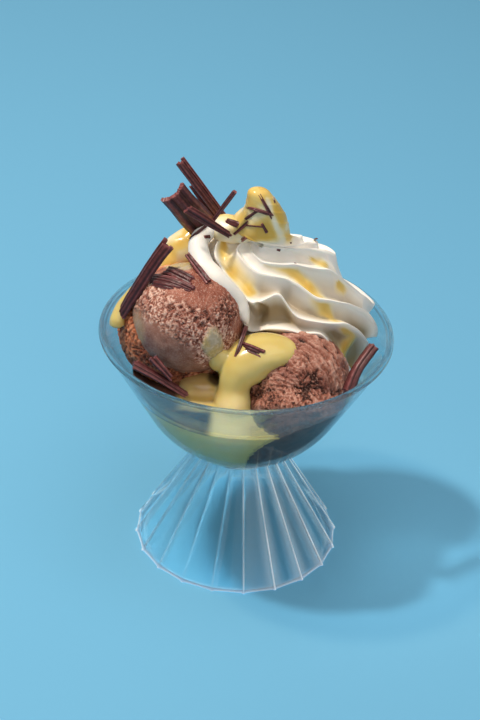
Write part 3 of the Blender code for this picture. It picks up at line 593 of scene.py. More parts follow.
def dish_surface():
    """A profile of (radius, height) points carried round the axis. The foot's outer face is pressed in between its
    20 edges by depth * |sin(10 * angle)|^0.9, and each edge is a thin bead, 0.6 * exp(-(distance / 0.6)^2) high.
    Returns a painted highlight for each point, too: on the beads, stronger on the right side, a faint painted sheen at
    the front right, and a bright line on the base's ring."""
    slant_angle = math.acos(FLARE / math.hypot(1, FLARE))

    def bowl_side(inset, bottom, top, count):
        """The ball's curve from this angle up, then the cone's straight side."""
        angles = np.linspace(bottom, slant_angle, count)
        curve = np.stack([np.sin(angles), -np.cos(angles)], 1) * (BALL_RADIUS - inset) + (0, BALL_HEIGHT)
        heights = np.linspace(curve[-1, 1], top, 8)[1:]
        return np.concatenate([curve, np.stack([bowl_radius(heights, inset), heights], 1)])

    rim_middle = np.array((RIM_RADIUS - GLASS_WALL / 2 - 0.1, DISH_HEIGHT - 1.2))
    turn = np.linspace(math.radians(170), math.radians(-10), 11)
    rim = rim_middle + np.stack([np.cos(turn), np.sin(turn)], 1) * (GLASS_WALL / 2 + 0.05)
    outside = bowl_side(0.0, math.asin((NECK_RADIUS + 2.6) / BALL_RADIUS), DISH_HEIGHT - 1.6, 26)[::-1]
    across = FOOT_WALL * 1.15
    neck = np.array((
        (NECK_RADIUS + 1.5, NECK_HEIGHT + 0.6), (NECK_RADIUS + 0.7, NECK_HEIGHT - 0.6),
        (NECK_RADIUS + 0.8, NECK_HEIGHT - 2.2), (NECK_RADIUS + 1.8, NECK_HEIGHT - 4.0),
    ))
    share = np.linspace(0, 1, 24)[1:, None]
    foot_outside = neck[-1] * (1 - share) + np.array((FOOT_RADIUS, 0.7)) * share
    base = np.array((
        (FOOT_RADIUS - 0.2, 0.2), (FOOT_RADIUS - 0.8, 0.0), (FOOT_RADIUS - across + 0.5, 0.0),
        (FOOT_RADIUS - across, 0.4),
    ))
    share = np.linspace(0, 1, 16)[1:, None]
    foot_inside = base[-1] * (1 - share) + np.array((NECK_RADIUS + 1.8 - across, NECK_HEIGHT - 4)) * share
    dome = np.array((
        (NECK_RADIUS - 3.2, NECK_HEIGHT - 4.9), (NECK_RADIUS - 5.4, NECK_HEIGHT - 5.5),
        (NECK_RADIUS - 9.0, NECK_HEIGHT - 5.9), (0.02, NECK_HEIGHT - 6.0),
    ))
    inside = bowl_side(GLASS_WALL, 0.0004, DISH_HEIGHT - 1.3, 34)
    profile = np.concatenate([inside, rim, outside, neck, foot_outside, base, foot_inside, dome])
    columns = FLUTES * 20
    turn = np.arange(columns) / 20
    angle = (turn - 0.13 * np.sin(math.tau * turn)) / FLUTES * math.tau
    radius = np.repeat(profile[:, :1], columns, axis=1)
    height = np.repeat(profile[:, 1:], columns, axis=1)
    on_foot = np.zeros(len(profile))
    first = len(inside) + len(rim) + len(outside)
    last = first + len(neck) + len(foot_outside) + 2
    on_foot[first:last] = 1
    fade = on_foot * smooth(NECK_HEIGHT + 0.8, NECK_HEIGHT - 6, profile[:, 1])
    flute = FLUTE_DEPTH * np.abs(np.sin(FLUTES / 2 * angle)) ** 0.9
    from_edge = np.abs((turn - 0.13 * np.sin(math.tau * turn) + 0.5) % 1.0 - 0.5) / FLUTES * math.tau * radius
    bead = 0.6 * np.exp(-((from_edge / 0.6) ** 2))
    radius = radius * (1 - fade[:, None] * flute) + fade[:, None] * bead
    points = np.stack([radius * np.cos(angle + FLUTE_TURN), radius * np.sin(angle + FLUTE_TURN), height], axis=-1)
    # Painted highlight on the beads: strong on the right side of the foot, faint on the left.
    right = 0.12 + 0.88 * smooth(0.25, 0.75, np.cos(angle + FLUTE_TURN + 0.4))
    edge = fade[:, None] * (bead / 0.6) ** 1.5 * right * (0.75 + 0.25 * noise(points, 9.0, 101))
    # Painted highlight: a bright line round the base's ring.
    base_ring_highlight = on_foot * smooth(1.0, 0.25, profile[:, 1])
    edge = np.maximum(edge, base_ring_highlight[:, None] * (0.8 + 0.2 * noise(points, 14.0, 102)))
    # Painted sheen: a faint pale veil over the foot at the front right.
    painted_sheen = smooth(0.74, 0.98, np.cos(angle + FLUTE_TURN + 0.75)) * smooth(0.0, 0.3, np.abs(turn % 1.0 - 0.5))
    edge = np.maximum(edge, 0.26 * fade[:, None] * painted_sheen)
    return points.reshape(-1, 3), grid_faces(len(profile), columns), edge


def make_glass(finish):
    points, faces, edge = dish_surface()
    mesh = closed_mesh(build_mesh("glass", points, faces[:, ::-1], {"edge": np.clip(edge, 0, 1)}), 14)
    add_piece("glass", mesh, finish, "clear_glass", "glass_dish")


def scoop_mesh(name, heart, form, relief):
    """A ball whose points move out from the heart to the edge of the form and then by the relief, but no farther than
    just inside the glass. They are closer together at the front."""
    directions, faces = ball_directions(7)
    directions = unit(directions - 0.4 * np.array(CAMERA_VIEW))
    plain = reach(heart, directions, form)
    surface = np.array(heart) + directions * plain[:, None]
    rise, values = relief(surface)
    wall = reach(heart, directions, scoop_room)
    # Painted shade: low in the bowl, the colour darkens where the ice cream comes near the glass.
    low = smooth(108, 100, surface[:, 2])
    values["height"] = values["height"] * (1 - 0.4 * low * smooth(7, 0, wall - plain - rise))
    points = np.array(heart) + directions * np.minimum(plain + rise, wall)[:, None]
    return build_mesh(name, points, faces, values)


def scoop_room(points):
    """The bowl's room for ice cream, a hair wider than for custard, so that no film of custard hides it."""
    return bowl_room(points) + 0.12


def pitted(points, cell, seed):
    """Round pits where air bubbles broke: 1 in the middle of each and 0 beyond its edge."""
    return smooth(0.50, 0.15, nearest_spot(points, cell, seed))


def facing_camera(points, centre):
    """Places across and up the picture, as shares of the scoop's radius, and how far a point faces the camera."""
    away = (points - np.array(centre[0])) / centre[1]
    return away @ np.array(CAMERA_RIGHT), away @ np.array(CAMERA_UP), -(away @ np.array(CAMERA_VIEW))


def left_relief(points):
    """A scraped ball: rolling lumps, a band of frost with pits and grains from the upper left to the lower right, a
    honeycomb at its right end, torn edges at the left and a melted lower left. A flat blob of thin custard lies at its
    lower right, and a film of it on its top."""
    across, up, _ = facing_camera(points, LEFT_SCOOP)
    bent = points + 0.9 * shaken(points, 3.0, 61)
    patchy = 0.16 * noise(points, 8.0, 64) + 0.10 * noise(points, 3.0, 65)
    line = (across + 0.57) * 0.55 + (up - 0.32) * 0.83 + patchy
    frost = smooth(0.42, 0.24, np.abs(line + 0.06)) * smooth(-0.95, -0.6, across)
    comb = smooth(0.34, 0.12, np.hypot(across - 0.70, up - 0.08) + 0.6 * patchy)
    melt = smooth(-0.12, -0.42, line) * smooth(0.45, -0.1, across + patchy) + 0.6 * smooth(-0.62, -0.85, up + patchy)
    melt = np.clip(melt, 0, 1)
    torn = smooth(-0.55, -0.8, across + patchy) * smooth(-0.1, 0.2, up)
    rough = np.clip(frost + comb + torn, 0, 1)
    fine = pitted(bent, 1.0, 21)
    holes = pitted(bent, 4.0, 22) * smooth(0.4, 0.7, noise(points, 6.0, 23))
    folds = 1 - 2 * np.abs(layered(bent, 4.6, 24, 2, 0.6))
    grain = layered(points, 0.9, 25, 2, 0.7)
    rise = 0.5 * layered(points, 12.0, 5, 3) * (1 - 0.5 * melt)
    rise += frost * (0.20 * grain - 0.30 * fine) + comb * (0.25 * grain - 0.9 * pitted(bent, 1.7, 26))
    rise += torn * (0.5 * folds + 0.3 * grain) - (0.3 + 0.7 * rough) * 0.8 * holes * (1 - melt)
    rise += (1 - rough) * (1 - melt) * (0.10 * grain + 0.22 * np.maximum(folds - 0.2, 0))
    # Colour height: pits, holes and the honeycomb are darker, a painted shade; frost and grains are paler.
    height = 0.5 + rough * (0.34 * grain - 0.32 * fine - 0.5 * comb * pitted(bent, 1.8, 26)) - 0.45 * holes
    height += 0.08 * grain + 0.14 * frost
    ragged = 0.25 * noise(points, 5.0, 66) + 0.10 * noise(points, 2.0, 67)
    blob = np.hypot((across - 0.48) / 0.19, (up + 0.50) / 0.34)
    film = np.hypot((across + 0.12) / 0.30, (up - 0.96) / 0.12)
    # Painted sheen: a faint pale glossy film along the scoop's left side.
    edge_sheen = np.hypot((across + 0.90) / 0.16, (up + 0.25) / 0.45)
    glaze_and_sheen = np.maximum(smooth(1.05, 0.75, np.minimum(blob, film) + ragged), 0.45 * smooth(1.2, 0.3, edge_sheen + ragged))
    rise = rise * (1 - 0.75 * glaze_and_sheen) + 0.9 * glaze_and_sheen * smooth(1.1, 0.6, blob + ragged)
    return rise, {"height": np.clip(height, 0, 1), "melt": 0.62 * melt, "glaze_and_sheen": glaze_and_sheen}


def torn_relief(points, centre, depth):
    """Crumbly ice cream: flakes drawn out along arcs round an axis that points to the lower left, thin layers that end
    in steps, dark cracks where other noise passes zero, a torn hollow and grains. Its foot has melted."""
    across, up, toward = facing_camera(points, centre)
    bent = points + shaken(points, 4.0, 71)
    from_axis = np.hypot(across + 0.4, up + 0.4) * centre[1]
    from_axis += 1.3 * noise(points, 6.0, 77) + 0.5 * noise(points, 2.2, 87)
    turn = np.arctan2(up + 0.4, across + 0.4) * centre[1]
    drawn = np.stack([from_axis, 0.35 * turn, 0.35 * toward * centre[1]], axis=-1)
    drawn = drawn + 0.35 * shaken(points, 1.6, 74)
    patchy = noise(points, 6.0, 78)
    smoother = smooth(0.0, 0.5, up + 0.5 * across + 0.25 * patchy)
    step = (from_axis / 2.3) % 1.0
    layers = smooth(0, 0.10, step) * (1 - step) * smooth(-0.4, 0.1, noise(points, 7.0, 88))
    flakes = 1 - 2.2 * np.abs(layered(drawn, 2.1, 79, 3, 0.6))
    small = 1 - 2.2 * np.abs(layered(bent, 1.5, 81, 2, 0.6))
    cracks = smooth(0.08, 0.01, np.abs(noise(drawn, 3.4, 84))) * smooth(-0.1, 0.3, noise(points, 6.0, 85))
    hollow = smooth(0.40, 0.14, np.hypot(across - 0.22, up + 0.05) + 0.14 * noise(points, 4.0, 89))
    torn = hollow * smooth(0.30, 0.05, np.abs(layered(bent, 3.4, 91, 2)))
    cracks = np.maximum(cracks, torn)
    grain = layered(points, 0.8, 86, 2, 0.7)
    rough = 1 - 0.6 * smoother
    rise = 0.30 * flakes + 0.22 * small * rough + 0.50 * layers - 0.8 * cracks - 0.35 * hollow
    rise += 0.16 * grain * rough - 0.5
    # Colour height: darker towards the lower left, and darker in the cracks and the torn hollow, a painted shade;
    # flakes and layers are paler.
    height = 0.47 - 0.22 * smooth(0.1, -0.7, across + up) + 0.16 * flakes + 0.16 * small * rough
    height += 0.26 * layers - 0.55 * cracks - 0.10 * hollow + 0.10 * grain
    melt = smooth(114, 109, points[:, 2] + 0.656 * (points[:, 1] + 60) + patchy)
    return depth * rise, {"height": np.clip(height, 0, 1), "melt": melt}


def ring_values(phase):
    """The ring table read at any phase by a cubic through neighbouring rows."""
    slopes = np.gradient(CREAM_RINGS, axis=0)
    low = np.clip(np.floor(phase).astype(int), 0, LAST_RING - 1)
    t = (np.clip(phase, 0, LAST_RING) - low)[..., None]
    first, second = CREAM_RINGS[low], CREAM_RINGS[low + 1]
    return (
        first * (2 * t**3 - 3 * t**2 + 1)
        + slopes[low] * (t**3 - 2 * t**2 + t)
        + second * (3 * t**2 - 2 * t**3)
        + slopes[low + 1] * (t**3 - t**2)
    )


def swirl_form(phase, angle):
    """The swirl without its ridges: half ellipses before and behind each ring's centre, which fall to the right."""
    centre_x, centre_y, centre_z, width, front, back, fall = np.moveaxis(ring_values(phase), -1, 0)
    along = np.maximum(width, 0.2) * np.cos(angle)
    across = -np.maximum(np.where(np.sin(angle) > 0, front, back), 0.2) * np.sin(angle)
    x = centre_x + along * math.cos(CREAM_TURN) - across * math.sin(CREAM_TURN)
    y = centre_y + along * math.sin(CREAM_TURN) + across * math.cos(CREAM_TURN)
    sag = 0.3 * np.maximum(across, 0) * np.interp(phase, (1, 3, 5.6, 6.5), (0, 1, 1, 0))
    return np.stack([x, y, centre_z + fall * along - sag], axis=-1)


def swirl_normal(phase, angle):
    """Outward unit directions of the form, from the cross product of its two slopes."""
    low, high = np.maximum(phase - 0.08, 0.01), np.minimum(phase + 0.08, LAST_RING - 0.01)
    upward = swirl_form(high, angle) - swirl_form(low, angle)
    round_it = swirl_form(phase, angle + 0.03) - swirl_form(phase, angle - 0.03)
    return unit(np.cross(upward, round_it))


def crest_phases(angle):
    """The ring phase of every crest at these angles: one row for each crest, from its table and evened out
    a little, but for the seam at 0 degrees, where crests go over into each other."""
    degrees = np.degrees(angle)
    seam = smooth(12, 0, degrees) + smooth(348, 360, degrees)
    rows = []
    for number in range(FIRST_CREST, LAST_CREST + 1):
        table = np.array(CRESTS.get(number, ((0, 0), (360, 0)))).T
        even = sum(np.interp(degrees + shift, *table) for shift in (-3, -1.5, 0, 1.5, 3)) / 5
        rows.append(even * (1 - seam) + np.interp(degrees, *table) * seam)
    return np.clip(np.maximum.accumulate(rows, axis=0), 0, LAST_RING)


def strip_share(points, strip):
    """How near points are to a line of (place, half width): 1 on the line and 0 beyond its width."""
    share = np.zeros(points.shape[:-1])
    for (start, wide), (end, wide_end) in zip(strip[:-1], strip[1:]):
        start, end = np.array(start), np.array(end)
        along = end - start
        t = np.clip(((points - start) @ along) / (along @ along), 0, 1)
        distance = np.linalg.norm(points - start - t[..., None] * along, axis=-1)
        width = wide + (wide_end - wide) * t
        share = np.maximum(share, smooth(1.8, 0.1, distance / width))
    return share


def make_cream(finish, ridge_depth):
    """A grid whose rows follow the crests. From a crest inwards the surface drops at once into a groove, then rises
    slowly, as 1 - t^1.7, to the lip of the next crest. Custard fills part of the grooves that it lies in."""
    columns = 480
    steps = np.array((0, 0.025, 0.06, 0.10, 0.15, 0.22, 0.32, 0.44, 0.57, 0.70, 0.82, 0.92))
    angle = np.arange(columns + 1) / columns * math.tau
    crest = crest_phases(angle)
    place = swirl_form(crest, angle)
    gap = np.linalg.norm(place[1:] - place[:-1], axis=-1)
    across = steps[None, :, None]
    phase = (crest[:-1, None] * (1 - across) + crest[1:, None] * across).reshape(-1, columns + 1)
    phase = np.concatenate([phase, crest[-1:]])
    dip = smooth(0.01, 0.20, across) ** 0.8 * (1 - np.clip((across - 0.19) / 0.81, 0, 1) ** 1.7)
    depth = np.minimum(0.5 * gap, ridge_depth)[:, None] * dip
    right_end = 1 + 3.0 * smooth(70, 30, np.abs((np.degrees(angle) + 180) % 360 - 180 + 20))
    rounding = np.exp(-((across / 0.07) ** 2)) + np.exp(-(((1 - across) / 0.10) ** 2))
    lip = 0.5 * right_end * np.minimum(gap[:, None] / 4, 1) * rounding
    depth = np.concatenate([(depth - lip).reshape(-1, columns + 1), np.zeros((1, columns + 1))])
    angle = np.broadcast_to(angle, phase.shape)
    base = swirl_form(phase, angle)
    depth = depth * np.interp(phase, (PEAK_RING - 0.7, PEAK_RING + 0.3, LAST_RING), (1, 0.12, 0))
    depth = depth * (1 + 0.2 * noise(base, 9.0, 71)) * np.interp(phase, (2.6, 4.0), (1, 0.7))
    depth += 3.0 * strip_share(base, PLEAT) - 0.18 * noise(base, 6.0, 72)
    # Painted shade in the grooves: more on deeper faces and on the lower rings, less from just left of the front round
    # to the back.
    hollow = np.clip(depth / 4.5, 0, 1) * np.interp(phase, (1.5, 3.6), (1, 0.25))
    hollow = hollow * np.interp(np.degrees(angle), (98, 112), (1, 0.25))
    sauce = np.zeros(phase.shape)
    ragged = 0.9 * shaken(base, 5.0, 78)
    for strip in STREAKS:
        sauce = np.maximum(sauce, strip_share(base + ragged, strip) * smooth(-0.5, 1.9, depth))
    peak = smooth(5.7, 6.3, phase + 0.2 * noise(base, 5.0, 75)) * (0.80 + 0.5 * layered(base, 9.0, 77, 2))
    fold = strip_share(base, PEAK_FOLD)
    sauce = np.clip(np.maximum(sauce, peak * (1 - 0.85 * fold)) * (0.85 + 0.35 * noise(base, 5.0, 76)), 0, 1)
    points = base - swirl_normal(phase, angle) * (depth * (1 - 0.35 * sauce) - 0.35 * sauce)[..., None]
    points[..., 2] = np.minimum(points[..., 2], 175.0)
    inner = bowl_radius(points[..., 2], GLASS_WALL - INTO_WALL)
    radius = np.hypot(points[..., 0], points[..., 1])
    too_far = (points[..., 2] < DISH_HEIGHT + 0.5) & (radius > inner)
    points[..., :2] *= np.where(too_far, inner / radius, 1)[..., None]
    faces = grid_faces(len(phase), columns + 1, closed=False)
    kept = np.ptp(phase.reshape(-1)[faces], axis=1) > 1e-5
    mesh = build_mesh("cream", points.reshape(-1, 3), faces[kept][:, ::-1], {"sauce": sauce, "hollow": hollow})
    add_piece("cream", closed_mesh(mesh), finish, "whipped_cream", "whipped_cream")


def swept(path, radii, rows, columns=28):
    """A round section carried down a smoothed path, with its own radius at each place and a rounded tip."""
    path = np.array(path)
    knots = np.linspace(0, 1, len(path))
    share = np.linspace(0, 1, rows)
    centre = np.stack([np.interp(share, knots, path[:, axis]) for axis in range(3)], axis=1)
    for _ in range(12):
        centre[1:-1] = (centre[:-2] + 2 * centre[1:-1] + centre[2:]) / 4
    radius = np.maximum(np.interp(share, knots[:-1], radii[:-1]) * smooth(1.0, 0.86, share) ** 0.5, 0.02)
    angle = np.arange(columns) / columns * math.tau
    tangent = unit(np.gradient(centre, axis=0))
    side = unit(np.cross(tangent, (0.3, 1, 0)))
    other = np.cross(tangent, side)
    ring = side[:, None] * np.cos(angle)[None, :, None] + other[:, None] * np.sin(angle)[None, :, None]
    return (centre[:, None] + ring * radius[:, None, None]).reshape(-1, 3), grid_faces(rows, columns)


def make_left_fold(finish):
    """The lowest fold's left end, a thick rounded roll with soft dents that lies over the left scoop's shoulder."""
    points, faces = swept(FOLD_PATH, FOLD_RADII, 120, 48)
    points = points + 0.35 * shaken(points, 6.0, 121)
    mesh = closed_mesh(build_mesh("cream_fold", points, faces))
    add_piece("cream_fold", mesh, finish, "whipped_cream")


def make_shoulder(finish):
    """Rounded lobes run together, with soft dents, glazed with custard more or less thickly."""
    directions, faces = ball_directions(6)
    points = []
    for eggs in SHOULDER:
        surface = lump(directions, eggs[0][0], eggs, SHOULDER_SOFTNESS)
        points.append(surface + directions * 0.7 * layered(surface, 8.0, 111, 2)[:, None])
    faces = np.concatenate([faces, faces + len(directions)])
    points = np.concatenate(points)
    sauce = np.clip(0.6 + 0.5 * layered(points, 7.0, 112, 2), 0, 1)
    mesh = build_mesh("cream_shoulder", points, faces, {"sauce": sauce, "hollow": np.zeros(len(points))})
    add_piece("cream_shoulder", mesh, finish, "whipped_cream")


def curl_mesh(foot, head, facing, head_width, foot_width, thickness, arc, bend, ribs, seed):
    """A ribbed shaving: an arc section with ribs across its outer face, carried from foot to head and bowed towards
    the side that it faces. Each strip of the section starts and stops at its own length, which leaves torn ends."""
    foot, head = np.array(foot, float), np.array(head, float)
    length = np.linalg.norm(head - foot)
    along = (head - foot) / length
    side = unit(np.cross(facing, along))
    face = np.cross(along, side)
    arc = math.radians(arc)
    across_count = max(8, int(max(head_width, foot_width) / 0.22))
    rows = max(6, int(length / 0.6))
    random = np.random.default_rng(seed)
    spread = np.linspace(-1, 1, across_count)
    inner_knots = np.linspace(-1, 1, ribs + 1)[1:-1] + random.uniform(-0.16, 0.16, ribs - 1)
    knots = np.sort(np.concatenate([(-1, 1), inner_knots]))
    rib = np.interp(spread, knots, np.arange(ribs + 1)) % 1.0
    rib_wave = np.sin(np.pi * rib) ** 0.5 * np.interp(spread, knots, random.uniform(0.5, 1, ribs + 1))
    streaks = random.uniform(-1, 1, across_count)
    streaks = (streaks + np.roll(streaks, 1)) / 2
    share = np.linspace(0, 1, rows)[:, None]
    strip = np.clip(np.interp(spread, knots, np.arange(ribs + 1)).astype(int), 0, ribs - 1)
    tear = random.uniform(-1, 0.15, (2, ribs))[:, strip] + 0.25 * streaks
    torn = min(1.6, 0.12 * length)
    ends = torn * (tear[1] * share**4 - tear[0] * (1 - share) ** 4)
    wobble = 0.12 * np.sin(share * 9 + random.uniform(0, 6)) + 0.05 * np.sin(share * 31 + streaks * 2)
    radius = (foot_width + (head_width - foot_width) * share) / 2 / math.sin(min(arc, math.pi) / 2)
    angles = spread * arc / 2 * (1 + 0.05 * np.sin(share * 7 + random.uniform(0, 6)))
    bow = bend * (1 - (2 * share - 1) ** 2) + wobble
    deep = 0.5 * math.sqrt(max(head_width, foot_width) / ribs / 1.5)
    rise = (deep * (rib_wave - 0.6) + 0.12 * streaks) * min(thickness / 1.6, 1)

    def sheet(out):
        side_way = (out * np.sin(angles))[..., None] * side
        face_way = (out * np.cos(angles) - radius + bow)[..., None] * face
        return foot + (share * length + ends)[..., None] * along + side_way + face_way

    inner = sheet(np.maximum(radius - thickness + 0.08 * streaks, 0.15))
    points = np.concatenate([sheet(radius + rise), inner[:, ::-1]], axis=1)
    columns = points.shape[1]
    faces = grid_faces(rows, columns)
    i = np.arange(across_count - 1)
    cap = np.stack([i, i + 1, columns - 2 - i, columns - 1 - i], axis=1)
    faces = np.concatenate([faces, cap[:, ::-1], cap + (rows - 1) * columns])
    # Painted light and shade on the ribs: paler on the crests, darker in the grooves, with random streaks; the torn
    # ends are pale.
    rib_light_and_shade = np.clip(rib_wave * 0.75 + 0.25 * streaks, 0, 1)
    rib_light_and_shade = np.broadcast_to(np.concatenate([rib_light_and_shade, np.full(across_count, 0.3)]), (rows, columns))
    tip = np.maximum(smooth(0.04, 0.0, share), smooth(0.96, 1.0, share))
    return points.reshape(-1, 3), faces, (rib_light_and_shade * (1 - tip) + 0.72 * tip).ravel()


def laid_on(points, thickness, others):
    """The points moved along the camera's view to just in front of the nearest of these meshes."""
    view = Vector(CAMERA_VIEW)
    laid = []
    for point in points:
        start = (Vector(point) - view * LAY_FROM) * MM
        hits = [tree.ray_cast(start, view, LAY_REACH * MM) for tree in others]
        places = sorted((hit[3], tuple(hit[0])) for hit in hits if hit[0] is not None)
        found = Vector(places[0][1]) if places else Vector(point) * MM
        laid.append(np.array(found - view * (0.5 * thickness * MM)) / MM)
    return laid


def laid_curl(start, end, head_width, foot_width, thickness, ribs, seed, others):
    """A shaving laid on what is behind it, bent so that its middle stays outside too."""
    middle = (np.array(start) + np.array(end)) / 2
    start, middle, end = laid_on((start, middle, end), thickness, others)
    toward = -np.array(CAMERA_VIEW)
    bend = max(0.0, float((middle - (start + end) / 2) @ toward)) + 0.1
    return curl_mesh(start, end, toward, head_width, foot_width, thickness, 40, bend, ribs, seed)


def curl_object(name, finish, parts, *nodes):
    """One piece from the points, faces and painted rib light and shade of one or more shavings."""
    points, faces, ridges, start = [], [], [], 0
    for part_points, part_faces, rib_light_and_shade in parts:
        points.append(part_points)
        faces.append(part_faces + start)
        ridges.append(rib_light_and_shade)
        start += len(part_points)
    mesh = build_mesh(name, np.concatenate(points), np.concatenate(faces), {"rib_light_and_shade": np.concatenate(ridges)})
    add_piece(name, closed_mesh(mesh, 50), finish, "dark_chocolate", *nodes)


def pool_grid():
    """The pool: a level top that curves up where it meets the glass, and a side and bottom that follow the bowl."""
    columns = 240
    share = np.linspace(0.0005, 1, 50)[:, None]
    angle = np.arange(columns)[None, :] / columns * math.tau
    edge = bowl_radius(POOL_LEVEL, GLASS_WALL - INTO_WALL)
    top_radius = share * edge
    top_height = POOL_LEVEL + 0.9 * np.exp((top_radius - edge) / 1.2)
    bottom = BALL_HEIGHT - BALL_RADIUS + GLASS_WALL - INTO_WALL
    down = np.linspace(POOL_LEVEL + 0.9, bottom + 0.01, 60)[1:, None]
    side_radius = np.maximum(bowl_radius(down, GLASS_WALL - INTO_WALL), 0.05)
    radius = np.concatenate([top_radius, side_radius]) + 0 * angle
    height = np.concatenate([top_height, down]) + 0 * angle
    points = np.stack([radius * np.cos(angle), radius * np.sin(angle), height], axis=-1).reshape(-1, 3)
    return points, grid_faces(len(radius), columns)[:, ::-1]


def closed_mesh(mesh, angle=None):
    """Closes the open ends, turns the faces outwards and shades the mesh smooth, but for edges sharper than angle."""
    bm = bmesh.new()
    bm.from_mesh(mesh)
    bmesh.ops.remove_doubles(bm, verts=bm.verts, dist=0.00003)
    bmesh.ops.holes_fill(bm, edges=[edge for edge in bm.edges if edge.is_boundary], sides=0)
    bmesh.ops.delete(bm, geom=[vert for vert in bm.verts if not vert.link_faces], context="VERTS")
    bmesh.ops.recalc_face_normals(bm, faces=bm.faces)
    bm.to_mesh(mesh)
    bm.free()
    mesh.shade_smooth()
    if angle:
        mesh.set_sharp_from_angle(angle=math.radians(angle))
    return mesh


def melted_together(name, meshes, voxel, rounds):
    """One mesh of several that overlap: rebuilt on a grid of this size in millimetres and evened out in rounds."""
    bm = bmesh.new()
    for mesh in meshes:
        bm.from_mesh(mesh)
        bpy.data.meshes.remove(mesh)
    joined = bpy.data.meshes.new(name)
    bm.to_mesh(joined)
    bm.free()
    helper = bpy.data.objects.new(name, joined)
    bpy.context.scene.collection.objects.link(helper)
    remesh = helper.modifiers.new("voxels", "REMESH")
    remesh.mode = "VOXEL"
    remesh.voxel_size = voxel * MM
    even = helper.modifiers.new("even", "SMOOTH")
    even.factor = 0.5
    even.iterations = rounds
    made = bpy.data.meshes.new_from_object(helper.evaluated_get(bpy.context.evaluated_depsgraph_get()))
    bpy.data.objects.remove(helper)
    bpy.data.meshes.remove(joined)
    made.shade_smooth()
    return made


def make_custard(finish):
    """The pool, the pour and the lumps beside and under the left scoop, run together. The side of the pool is
    put back on the glass after they are evened out."""
    directions, faces = ball_directions(6)
    parts = [closed_mesh(build_mesh("pool", *pool_grid()))]
    for heart, eggs in ((POUR_HEART, POUR_EGGS), *((sizes[0], (sizes,)) for sizes in CUSTARD_LUMPS)):
        parts.append(build_mesh("lump", lump(directions, heart, eggs, POUR_SOFTNESS), faces))
    mesh = melted_together("custard", parts, 0.62, 7)
    points = mesh_points(mesh) / MM
    radius = np.hypot(points[:, 0], points[:, 1])
    wall = bowl_radius(points[:, 2], GLASS_WALL - INTO_WALL)
    at_wall = (radius > wall - 0.8) & (points[:, 2] < POOL_LEVEL + 1)
    points[:, :2] *= np.where(at_wall, wall / np.maximum(radius, 1), 1)[:, None]
    mesh.vertices.foreach_set("co", (points * MM).ravel())
    # Browner on the lump under the left scoop: melted ice cream mixed in, and painted shade of the scoop.
    stain_and_shade = smooth(15, 5, np.linalg.norm(points - np.array((-20, -18, 93)), axis=1) + 3 * noise(points, 6.0, 91))
    # Painted light: paler custard where the pour lies against the front of the glass.
    painted_lit_front = 0.55 * smooth(16, 6, np.linalg.norm(points - np.array((-4, -38, 89)), axis=1))
    # Melted chocolate: dark brown on the pool's top at the left and front.
    left = smooth(-25, -31, points[:, 0] + 2 * noise(points, 6.0, 93))
    front = smooth(-29, -32, points[:, 1] + 1.5 * noise(points, 5.0, 94)) * smooth(-11, -15, points[:, 0])
    over_pool = points[:, 2] - POOL_LEVEL
    on_top = smooth(-1.2, -0.4, over_pool) * smooth(3, 2, over_pool)
    # Painted shadow: dark brown in the gap under the left scoop.
    from_shadow_gap = np.linalg.norm(points - np.array((-11.8, -17, 96)), axis=1) + noise(points, 4.0, 95)
    shadow_gap = 0.85 * smooth(6.0, 3.0, from_shadow_gap)
    cocoa_and_shade = np.maximum(on_top * np.maximum(left, front), shadow_gap)
    set_attributes(mesh, {"stain_and_shade": stain_and_shade, "painted_lit_front": painted_lit_front, "cocoa_and_shade": cocoa_and_shade})
    add_piece("custard", mesh, finish, "custard", "custard_sauce")


def make_drip(finish):
    """The drip that hangs by the left curl."""
    points, faces = swept(DRIP_PATH, DRIP_RADII, 60)
    add_piece("custard_drip_round", closed_mesh(build_mesh("drip", points, faces)), finish, "custard", "custard_drip")


# Add-on


class SundaeSettings(bpy.types.PropertyGroup):
    ridge_depth: bpy.props.FloatProperty(
        name="Ridge depth", description="How deep the cream's grooves are, in millimetres", default=6.2, min=0, max=8
    )
    crags: bpy.props.FloatProperty(
        name="Crags", description="How torn the right scoop is, in millimetres", default=1.3, min=0, max=3
    )
    floor_colour: bpy.props.FloatVectorProperty(
        name="Floor", description="Colour of the floor", subtype="COLOR", size=4, min=0, max=1,
        default=linear("#70B4DA"),
    )


class SUNDAE_OT_glass(bpy.types.Operator):
    """Build the clear dish with its fluted foot"""

    bl_idname = "sundae.glass"
    bl_label = "Glass Dish"

    def execute(self, context):
        make_glass(pressed_glass())
        return {"FINISHED"}


class SUNDAE_OT_scoops(bpy.types.Operator):
    """Build the three scoops of chocolate ice cream"""

    bl_idname = "sundae.scoops"
    bl_label = "Scoops"

    def execute(self, context):
        crags = context.scene.sundae.crags
        for side, made, colours, heart, forms, relief in (
            ("left", "scooped", ("#5C2F24", "#AC6D59", "#F6D8C8", 0.6, "#7A5243", "#AE8A7A"), LEFT_SCOOP[0],
             lambda at: ball(at, *LEFT_SCOOP), left_relief),
            ("back", "scraped", ("#6A3422", "#C87A54", "#E8B08C", 1.2, "#8A5038", "#A86A4C"), BACK_SCOOP[0],
             lambda at: ball(at, *BACK_SCOOP), lambda at: torn_relief(at, BACK_SCOOP, 0.9)),
            ("right", "torn", ("#44241B", "#9C6553", "#D3AA9A", 0.9, "#3A2A26", "#5A453E"), RIGHT_HEART,
             lambda at: np.maximum(ball(at, *RIGHT_SCOOP), egg(at, *RIGHT_ROOT)),
             lambda at: torn_relief(at, RIGHT_SCOOP, crags)),
        ):
            name = f"ice_cream_{side}"
            finish = ice_cream(f"{made}_chocolate_ice_cream", *colours)
            add_piece(name, scoop_mesh(name, heart, forms, relief), finish, "chocolate_ice_cream", f"scoop_{side}")
        return {"FINISHED"}


